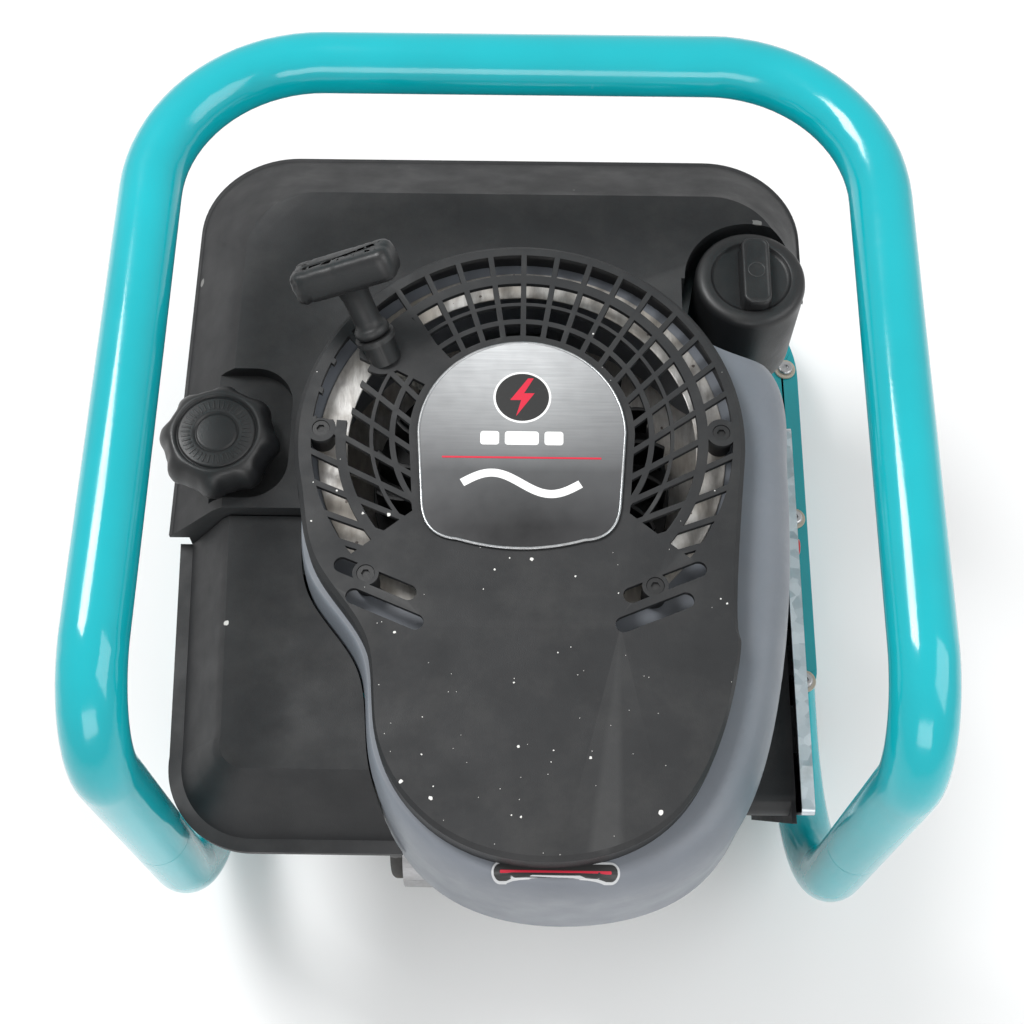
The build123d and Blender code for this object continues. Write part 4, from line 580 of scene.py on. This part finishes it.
def wave_outline(y, width, swing, thickness):
    """One period of a thick sine line."""
    steps = 48
    line = []
    for k in range(steps + 1):
        line.append((width * (k / steps - 0.5), y + swing * math.sin(math.tau * k / steps)))
    sides = []
    for k, (x, v) in enumerate(line):
        before, after = line[max(k - 1, 0)], line[min(k + 1, steps)]
        run = Vector((after[0] - before[0], after[1] - before[1])).normalized()
        sides.append((Vector((x, v)), Vector((-run.y, run.x)) * thickness / 2))
    upper = [tuple(spot + off) for spot, off in sides]
    return upper + [tuple(spot - off) for spot, off in reversed(sides)]


BOLT = ((3.0, 11.5), (-6.5, -1.8), (-0.6, -1.8), (-3.2, -11.5), (6.5, 2.4), (0.9, 2.4), (6.0, 11.5))
BADGE_Y = 21.0
BADGE_R = 15.5
DISC_R = 14.3


def badge_circle(radius):
    """A circle about the badge's middle."""
    turns = [math.tau * k / 64 for k in range(64)]
    return [(radius * math.cos(turn), BADGE_Y + radius * math.sin(turn)) for turn in turns]


def label_art():
    """A bolt badge over a red rule and a sine mark, in place of the maker's lettering."""
    art("label_badge_rim", badge_circle(BADGE_R), WHITE_INK)
    art("label_badge_disc", badge_circle(DISC_R), BLACK_INK, 0.00008)
    art("label_bolt", [(x, y + BADGE_Y) for x, y in BOLT], RED_INK, 0.00016)
    art("label_rule", bar_outline(0.0, -15.0, 84.0, 1.0, 0.3), RED_INK)
    for k, width in enumerate((10.0, 18.0, 10.0)):
        art(f"label_bar_{k + 1}", bar_outline((-17.0, 0.0, 17.0)[k], -3.5, width, 8.0, 1.6), WHITE_INK)
    art("label_wave", wave_outline(-30.0, 62.0, 6.0, 4.6), WHITE_INK)
    rim = [(x, y, LABEL_TOP - 0.0002) for x, y in label_edge(-0.0002)]
    tube_curve("label_rim", rim, 0.0008, "frame", "zinc", closed=True)


label_art()

# ---------------------------------------------------------------- caps


def fluted(turn, radius, height):
    """Eight shallow scallops that fade out towards the cap's top."""
    wave = 0.5 + 0.5 * math.cos(8 * turn + 0.5)
    depth = 0.085 * (1 - wave ** 2.2) ** 1.6
    fade = min(max((radius - 0.0236) / 0.005, 0.0), 1.0)
    low = min(max((FUEL_HIGH.z - height) / 0.006, 0.0), 1.0)
    return 1 - depth * fade * (0.55 + 0.45 * low)


def fuel_cap():
    """A fluted cap with a ring groove, a knurled band and a raised middle."""
    outer = (FUEL_HIGH.x - FUEL_LOW.x) / 2
    top = FUEL_HIGH.z
    low = FUEL_LOW.z
    shape = bmesh.new()
    profile = (
        (0.0, top - 0.0012), (0.0098, top - 0.0012), (0.0108, top - 0.0013), (0.0112, top - 0.0020),
        (0.0118, top - 0.0020), (0.0122, top - 0.0011), (0.0130, top - 0.0010), (0.0200, top - 0.0009),
        (0.0208, top - 0.0011), (0.0211, top - 0.0022), (0.0219, top - 0.0022), (0.0222, top - 0.0006),
        (0.0232, top), (0.0250, top - 0.0004), (0.0275, top - 0.0020), (0.0298, top - 0.0045),
        (0.0316, top - 0.0075), (outer - 0.0003, top - 0.0110), (outer, top - 0.0140),
        (outer - 0.0002, low + 0.0025), (outer - 0.0010, low + 0.0008), (outer - 0.0030, low), (0.0, low),
    )
    lathe(shape, profile, FUEL_AT, 192, fluted)
    cap = make_piece("fuel_cap_shell", shape, "fuel_cap", "black_trim", CAP_SKIN)
    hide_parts("fuel_cap")
    knurl = bmesh.new()
    for k in range(40):
        turn = math.tau * k / 40
        place = Matrix.Translation((FUEL_AT.x, FUEL_AT.y, 0.0)) @ Matrix.Rotation(turn, 4, "Z")
        mark = [(0.0165 + u, v) for u, v in rounded_rectangle(0.0050, 0.0010, 0.0004, 2)]
        slab(knurl, mark, top - 0.0012, top - 0.0006, place, 0.0002)
    make_piece("fuel_cap_knurl", knurl, "fuel_cap", "black_trim", CAP_SKIN)


def oil_cap():
    """A dipstick cap: a dished disc with a tall finger bar."""
    outer = (OIL_HIGH.x - OIL_LOW.x) / 2
    disc_top = OIL_HIGH.z - 0.0055
    low = OIL_LOW.z
    shape = bmesh.new()
    profile = (
        (0.0, disc_top - 0.0022), (0.0205, disc_top - 0.0022), (0.0222, disc_top - 0.0018),
        (0.0230, disc_top - 0.0004), (0.0238, disc_top), (outer - 0.0040, disc_top - 0.0004),
        (outer - 0.0018, disc_top - 0.0014), (outer - 0.0005, disc_top - 0.0034), (outer, disc_top - 0.0060),
        (outer, low + 0.0040), (outer - 0.0008, low + 0.0010), (outer - 0.0030, low), (0.0, low),
    )
    lathe(shape, profile, OIL_AT, 128)
    bar = rounded_rectangle(0.0165, 0.0440, 0.0055)
    place = Matrix.Translation((OIL_AT.x + 0.0022, OIL_AT.y, 0.0))
    layers = [
        (grown(bar, 0.0008), disc_top - 0.0024), (grown(bar, 0.0003), disc_top - 0.0008),
        (bar, disc_top + 0.0040),
        (grown(bar, -0.0003), disc_top + 0.0068), (grown(bar, -0.0010), disc_top + 0.0078),
        (grown(bar, -0.0018), disc_top + 0.0080), (grown(bar, -0.0022), disc_top + 0.0077),
        (grown(bar, -0.0030), disc_top + 0.0076),
    ]
    prism(shape, layers, place)
    cap = make_piece("oil_cap_shell", shape, "oil_cap", "black_trim", CAP_SKIN)
    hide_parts("oil_cap")
    ring = bmesh.new()
    middle = (OIL_AT.x + 0.0022, OIL_AT.y)
    floor = disc_top + 0.0074
    band = (
        (0.0, floor), (0.0042, floor), (0.0044, floor + 0.0005), (0.0050, floor + 0.0005),
        (0.0052, floor), (0.0, floor - 0.0008),
    )
    lathe(ring, band, middle, 48)
    make_piece("oil_cap_emboss", ring, "oil_cap", "black_trim", CAP_SKIN)


CAP_SKIN = textured_plastic("worn cap plastic", (0.0080, 0.0084, 0.0092), 0.42, 0.07, grain=0.25)
fuel_cap()
oil_cap()

# ---------------------------------------------------------------- pull handle

PULL_DIR = Vector((-0.36, 0.50, 0.79)).normalized()
PULL_FROM = Vector((AXIS.x - 0.076, AXIS.y + 0.048, COVER_HIGH.z))
PULL_SIDE = Vector((0.95, 0.09, 0.376))
PULL_SIDE = (PULL_SIDE - PULL_DIR * PULL_SIDE.dot(PULL_DIR)).normalized()
PULL_OVER = PULL_DIR.cross(PULL_SIDE)
PULL = Matrix((
    (PULL_SIDE.x, PULL_OVER.x, PULL_DIR.x, PULL_FROM.x),
    (PULL_SIDE.y, PULL_OVER.y, PULL_DIR.y, PULL_FROM.y),
    (PULL_SIDE.z, PULL_OVER.z, PULL_DIR.z, PULL_FROM.z),
    (0.0, 0.0, 0.0, 1.0),
))
STEM_FROM = 0.0125
GRIP_FROM = 0.0425
GRIP_TO = 0.0605
ROPE_R = 0.0022
ROPE_SIDES = 14


def evenly(points, count):
    """The same closed outline with evenly spaced points."""
    closed = [Vector(point) for point in points] + [Vector(points[0])]
    lengths = [(b - a).length for a, b in zip(closed, closed[1:])]
    total = sum(lengths)
    spots = []
    run, k = 0.0, 0
    for step in range(count):
        target = total * step / count
        while run + lengths[k] < target:
            run += lengths[k]
            k += 1
        share = (target - run) / lengths[k]
        spots.append(tuple(closed[k].lerp(closed[k + 1], share)))
    return spots


def handle():
    """The starter's grip on its stem, chewed along the top edge and the left end."""
    shape = bmesh.new()
    outline = evenly(rounded_rectangle(0.058, 0.022, 0.0065), 112)
    steps = (
        (-0.0050, GRIP_FROM), (-0.0022, GRIP_FROM + 0.0005), (-0.0006, GRIP_FROM + 0.0018),
        (0.0, GRIP_FROM + 0.0040), (0.0002, GRIP_FROM + 0.0070), (0.0002, GRIP_FROM + 0.0100),
        (-0.0001, GRIP_TO - 0.0048), (-0.0007, GRIP_TO - 0.0026), (-0.0016, GRIP_TO - 0.0012),
        (-0.0030, GRIP_TO - 0.0004), (-0.0050, GRIP_TO), (-0.0075, GRIP_TO), (-0.0098, GRIP_TO),
    )
    layers = [(grown(outline, amount), height) for amount, height in steps]
    prism(shape, layers, Matrix())
    for vert in shape.verts:
        spot = vert.co
        at_top = min(max((spot.z - GRIP_TO + 0.0060) / 0.0045, 0.0), 1.0)
        at_left = min(max((-0.012 - spot.x) / 0.012, 0.0), 1.0)
        rough = mnoise.fractal(spot * 260.0, 0.7, 2.1, 5)
        chew = max(rough, 0.0) * 0.0019 * max(at_top * (0.25 + 0.75 * at_left), 0.6 * at_left)
        middle = Vector((spot.x * 0.8, 0.0, GRIP_FROM + 0.009))
        vert.co = spot + (middle - spot).normalized() * chew
    stem = (
        (0.0, STEM_FROM), (0.0078, STEM_FROM), (0.0092, STEM_FROM + 0.0008), (0.0098, STEM_FROM + 0.0024),
        (0.0096, STEM_FROM + 0.0044), (0.0086, STEM_FROM + 0.0058), (0.0078, STEM_FROM + 0.0064),
        (0.0075, STEM_FROM + 0.0100), (0.0074, STEM_FROM + 0.0180), (0.0077, STEM_FROM + 0.0240),
        (0.0086, STEM_FROM + 0.0290), (0.0102, STEM_FROM + 0.0330), (0.0108, STEM_FROM + 0.0360),
        (0.0, STEM_FROM + 0.0362),
    )
    lathe(shape, stem, (0.0, 0.0), 64)
    bmesh.ops.transform(shape, matrix=PULL, verts=shape.verts)
    grip = make_piece("pull_grip", shape, "pull_handle", "black_trim", CAP_SKIN)
    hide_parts("starter_handle")


def pull_rope():
    """The rope, from the pulley's groove through the guide into the handle."""
    low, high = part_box("starter_rope")
    start = Vector((AXIS.x - 0.0155, AXIS.y + 0.0385, low.z + ROPE_R))
    bend = PULL_FROM - PULL_DIR * 0.014
    turn = Vector((start.x + (bend.x - start.x) * 0.6, start.y + (bend.y - start.y) * 0.6, start.z))
    inside = bend.lerp(PULL_FROM, 0.5)
    points = [start.lerp(turn, k / 6) for k in range(6)]
    for k in range(9):
        t = k / 8
        points.append(turn.lerp(bend, t * 0.5).lerp(inside, t * t) if t < 1 else inside)
    points += [PULL_FROM + PULL_DIR * (0.004 * k) for k in range(1, 8)]
    shape = bmesh.new()
    rings = []
    for k, place in enumerate(points):
        run = (points[min(k + 1, len(points) - 1)] - points[max(k - 1, 0)]).normalized()
        across = run.orthogonal().normalized() if k == 0 else (across - run * across.dot(run)).normalized()
        over = run.cross(across)
        ring = []
        for m in range(ROPE_SIDES):
            turn_by = math.tau * m / ROPE_SIDES
            strand = ROPE_R * (1 + 0.06 * math.cos(4 * turn_by + k * 1.7))
            side = across * math.cos(turn_by) + over * math.sin(turn_by)
            ring.append(shape.verts.new(place + side * strand))
        rings.append(ring)
    for lower, upper in zip(rings, rings[1:]):
        for m in range(ROPE_SIDES):
            following = (m + 1) % ROPE_SIDES
            shape.faces.new((lower[m], lower[following], upper[following], upper[m]))
    shape.faces.new(rings[0])
    shape.faces.new(rings[-1])
    mesh = bpy.data.meshes.new("pull_rope")
    bmesh.ops.recalc_face_normals(shape, faces=shape.faces)
    shape.to_mesh(mesh)
    shape.free()
    for face in mesh.polygons:
        face.use_smooth = True
    piece = bpy.data.objects.new("pull_rope", mesh)
    bpy.context.scene.collection.objects.link(piece)
    mesh.materials.append(SKINS["rope"])
    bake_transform(piece)
    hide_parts("starter_rope")


handle()
pull_rope()

# ---------------------------------------------------------------- paint flecks

FLECK_COUNT = 230
FLECK_SEED = 7
FLECK_CORNERS = 9
# Share of the outline and height above the surface, from the buried rim to the top
FLECK_LAYERS = ((1.0, -0.00005), (0.92, 0.00008), (0.55, 0.00014))
# Flecks lie on faces at least this level, and this far above the cover's lower edge
FLECK_SLOPE = 0.8
FLECK_FLOOR = 0.02


def surface_of(node):
    """A CAD node's faces, to be hit by rays."""
    mesh = NODES[node].data
    corners = [vert.co.copy() for vert in mesh.vertices]
    return BVHTree.FromPolygons(corners, [list(face.vertices) for face in mesh.polygons])


def fleck_field(name, node, body, slot, count, seed, reach):
    """Small flat splashes of pale paint on a CAD node's upward faces; reach picks a place and a size."""
    surface = surface_of(node)
    draw = random.Random(seed)
    shape = bmesh.new()
    for _ in range(count):
        x, y, size = reach(draw)
        spot, normal, _, _ = surface.ray_cast(Vector((x, y, 1.0)), Vector((0.0, 0.0, -1.0)))
        if spot is None or normal.z < FLECK_SLOPE or spot.z < COVER_LOW.z + FLECK_FLOOR:
            continue
        across = normal.orthogonal().normalized()
        over = normal.cross(across)
        rims = [size * draw.uniform(0.65, 1.15) for _ in range(FLECK_CORNERS)]
        rings = []
        for share, lift in FLECK_LAYERS:
            ring = []
            for k in range(FLECK_CORNERS):
                turn = math.tau * k / FLECK_CORNERS
                side = across * math.cos(turn) + over * math.sin(turn)
                ring.append(shape.verts.new(spot + side * rims[k] * share + normal * lift))
            rings.append(ring)
        for lower, upper in zip(rings, rings[1:]):
            for k in range(FLECK_CORNERS):
                following = (k + 1) % FLECK_CORNERS
                shape.faces.new((lower[k], lower[following], upper[following], upper[k]))
        shape.faces.new(rings[0])
        shape.faces.new(rings[-1])
    return make_piece(name, shape, body, slot, FLECK_SKIN)


def on_the_cover(draw):
    """A place over the blower cover, more often towards its front, with a size that is mostly tiny."""
    x = AXIS.x + draw.uniform(-0.130, 0.130)
    y = AXIS.y - 0.235 + 0.300 * draw.random() ** 1.6
    return x, y, 0.00022 + 0.00120 * draw.random() ** 5


FLECK_SKIN = printed_ink("pale paint flecks", (0.74, 0.73, 0.70), 0.55)
fleck_field("paint_flecks", "blower_cover", "frame", "black_cover", FLECK_COUNT, FLECK_SEED, on_the_cover)

# ---------------------------------------------------------------- nose badge

NOSE_AT = (AXIS.x + 0.0190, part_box("engine_shroud")[0].y + 0.0110)
NOSE_W = 0.062
NOSE_D = 0.0095
SHROUD_SKIN = surface_of("engine_shroud")


def nose_plate(name, shrink, lift, skin):
    """A pill-shaped plate that follows the shroud's nose; it has no lettering."""
    outline = rounded_rectangle(NOSE_W - 2 * shrink, NOSE_D - 2 * shrink, NOSE_D / 2 - shrink - 0.0001, 10)
    shape = bmesh.new()
    rings = []
    for share, height in ((1.0, -0.0004), (1.0, lift), (0.7, lift), (0.4, lift), (0.1, lift)):
        ring = []
        for x, y in outline:
            place = Vector((NOSE_AT[0] + x * share, NOSE_AT[1] + y * share, 1.0))
            spot, normal, _, _ = SHROUD_SKIN.ray_cast(place, Vector((0.0, 0.0, -1.0)))
            ring.append(shape.verts.new(spot + normal * height))
        rings.append(ring)
    count = len(outline)
    for lower, upper in zip(rings, rings[1:]):
        for k in range(count):
            shape.faces.new((lower[k], lower[(k + 1) % count], upper[(k + 1) % count], upper[k]))
    shape.faces.new(rings[0])
    shape.faces.new(rings[-1])
    make_piece(name, shape, "frame", "label", skin, smooth=False)


SILVER_INK = printed_ink("silver badge", (0.55, 0.56, 0.57), 0.3)
nose_plate("nose_plate", 0.0, 0.0005, SILVER_INK)
nose_plate("nose_plate_field", 0.0011, 0.0006, BLACK_INK)
nose_plate("nose_plate_line", 0.0041, 0.0007, RED_INK)

# ---------------------------------------------------------------- stage, light and camera

ROOM_STRENGTH = 0.62
FLOOR_HALF = 6.0


def box_light(name, place, aim, size, power, colour=(1.0, 1.0, 1.0)):
    """A rectangular softbox."""
    lamp = bpy.data.lights.new(name, "AREA")
    lamp.shape = "RECTANGLE"
    lamp.size, lamp.size_y = size
    lamp.energy = power
    lamp.color = colour
    holder = bpy.data.objects.new(name, lamp)
    bpy.context.scene.collection.objects.link(holder)
    holder.location = place
    holder.rotation_euler = (Vector(aim) - Vector(place)).to_track_quat("-Z", "Y").to_euler()


def studio():
    """A pale floor, a bright room and three softboxes."""
    floor_mesh = bpy.data.meshes.new("floor")
    shape = bmesh.new()
    bmesh.ops.create_grid(shape, x_segments=8, y_segments=8, size=FLOOR_HALF)
    shape.to_mesh(floor_mesh)
    shape.free()
    floor = bpy.data.objects.new("floor", floor_mesh)
    bpy.context.scene.collection.objects.link(floor)
    p = Paint("studio floor")
    tone = p.mix(p.noise(2.0, 3.0), (0.86, 0.86, 0.86), (0.90, 0.90, 0.90))
    floor_mesh.materials.append(p.done(tone, 0.7))
    world = bpy.data.worlds.new("studio")
    world.use_nodes = True
    world.node_tree.nodes["Background"].inputs["Color"].default_value = (1.0, 1.0, 1.0, 1.0)
    world.node_tree.nodes["Background"].inputs["Strength"].default_value = ROOM_STRENGTH
    bpy.context.scene.world = world
    middle = (0.0, 0.0, 0.2)
    box_light("key", (-0.9, 0.5, 1.9), middle, (0.7, 0.7), 26.0)
    box_light("fill", (1.3, -0.4, 1.5), middle, (1.2, 1.2), 12.0)
    box_light("front", (0.0, -1.8, 1.2), middle, (1.4, 0.7), 10.0)


studio()

CAMERA_AT = Vector((0.00519, -0.41110, 1.07868))
CAMERA_AIM = Vector((-0.005675, 0.41381, -0.91035))
LENS = 57.449
SENSOR_W = 36.0

camera = bpy.data.objects.new("camera", bpy.data.cameras.new("camera"))
bpy.context.scene.collection.objects.link(camera)
camera.location = CAMERA_AT
camera.rotation_euler = CAMERA_AIM.to_track_quat("-Z", "Y").to_euler()
camera.data.lens = LENS
camera.data.sensor_width = SENSOR_W
bpy.context.scene.camera = camera
bpy.context.scene.view_settings.view_transform = "Standard"
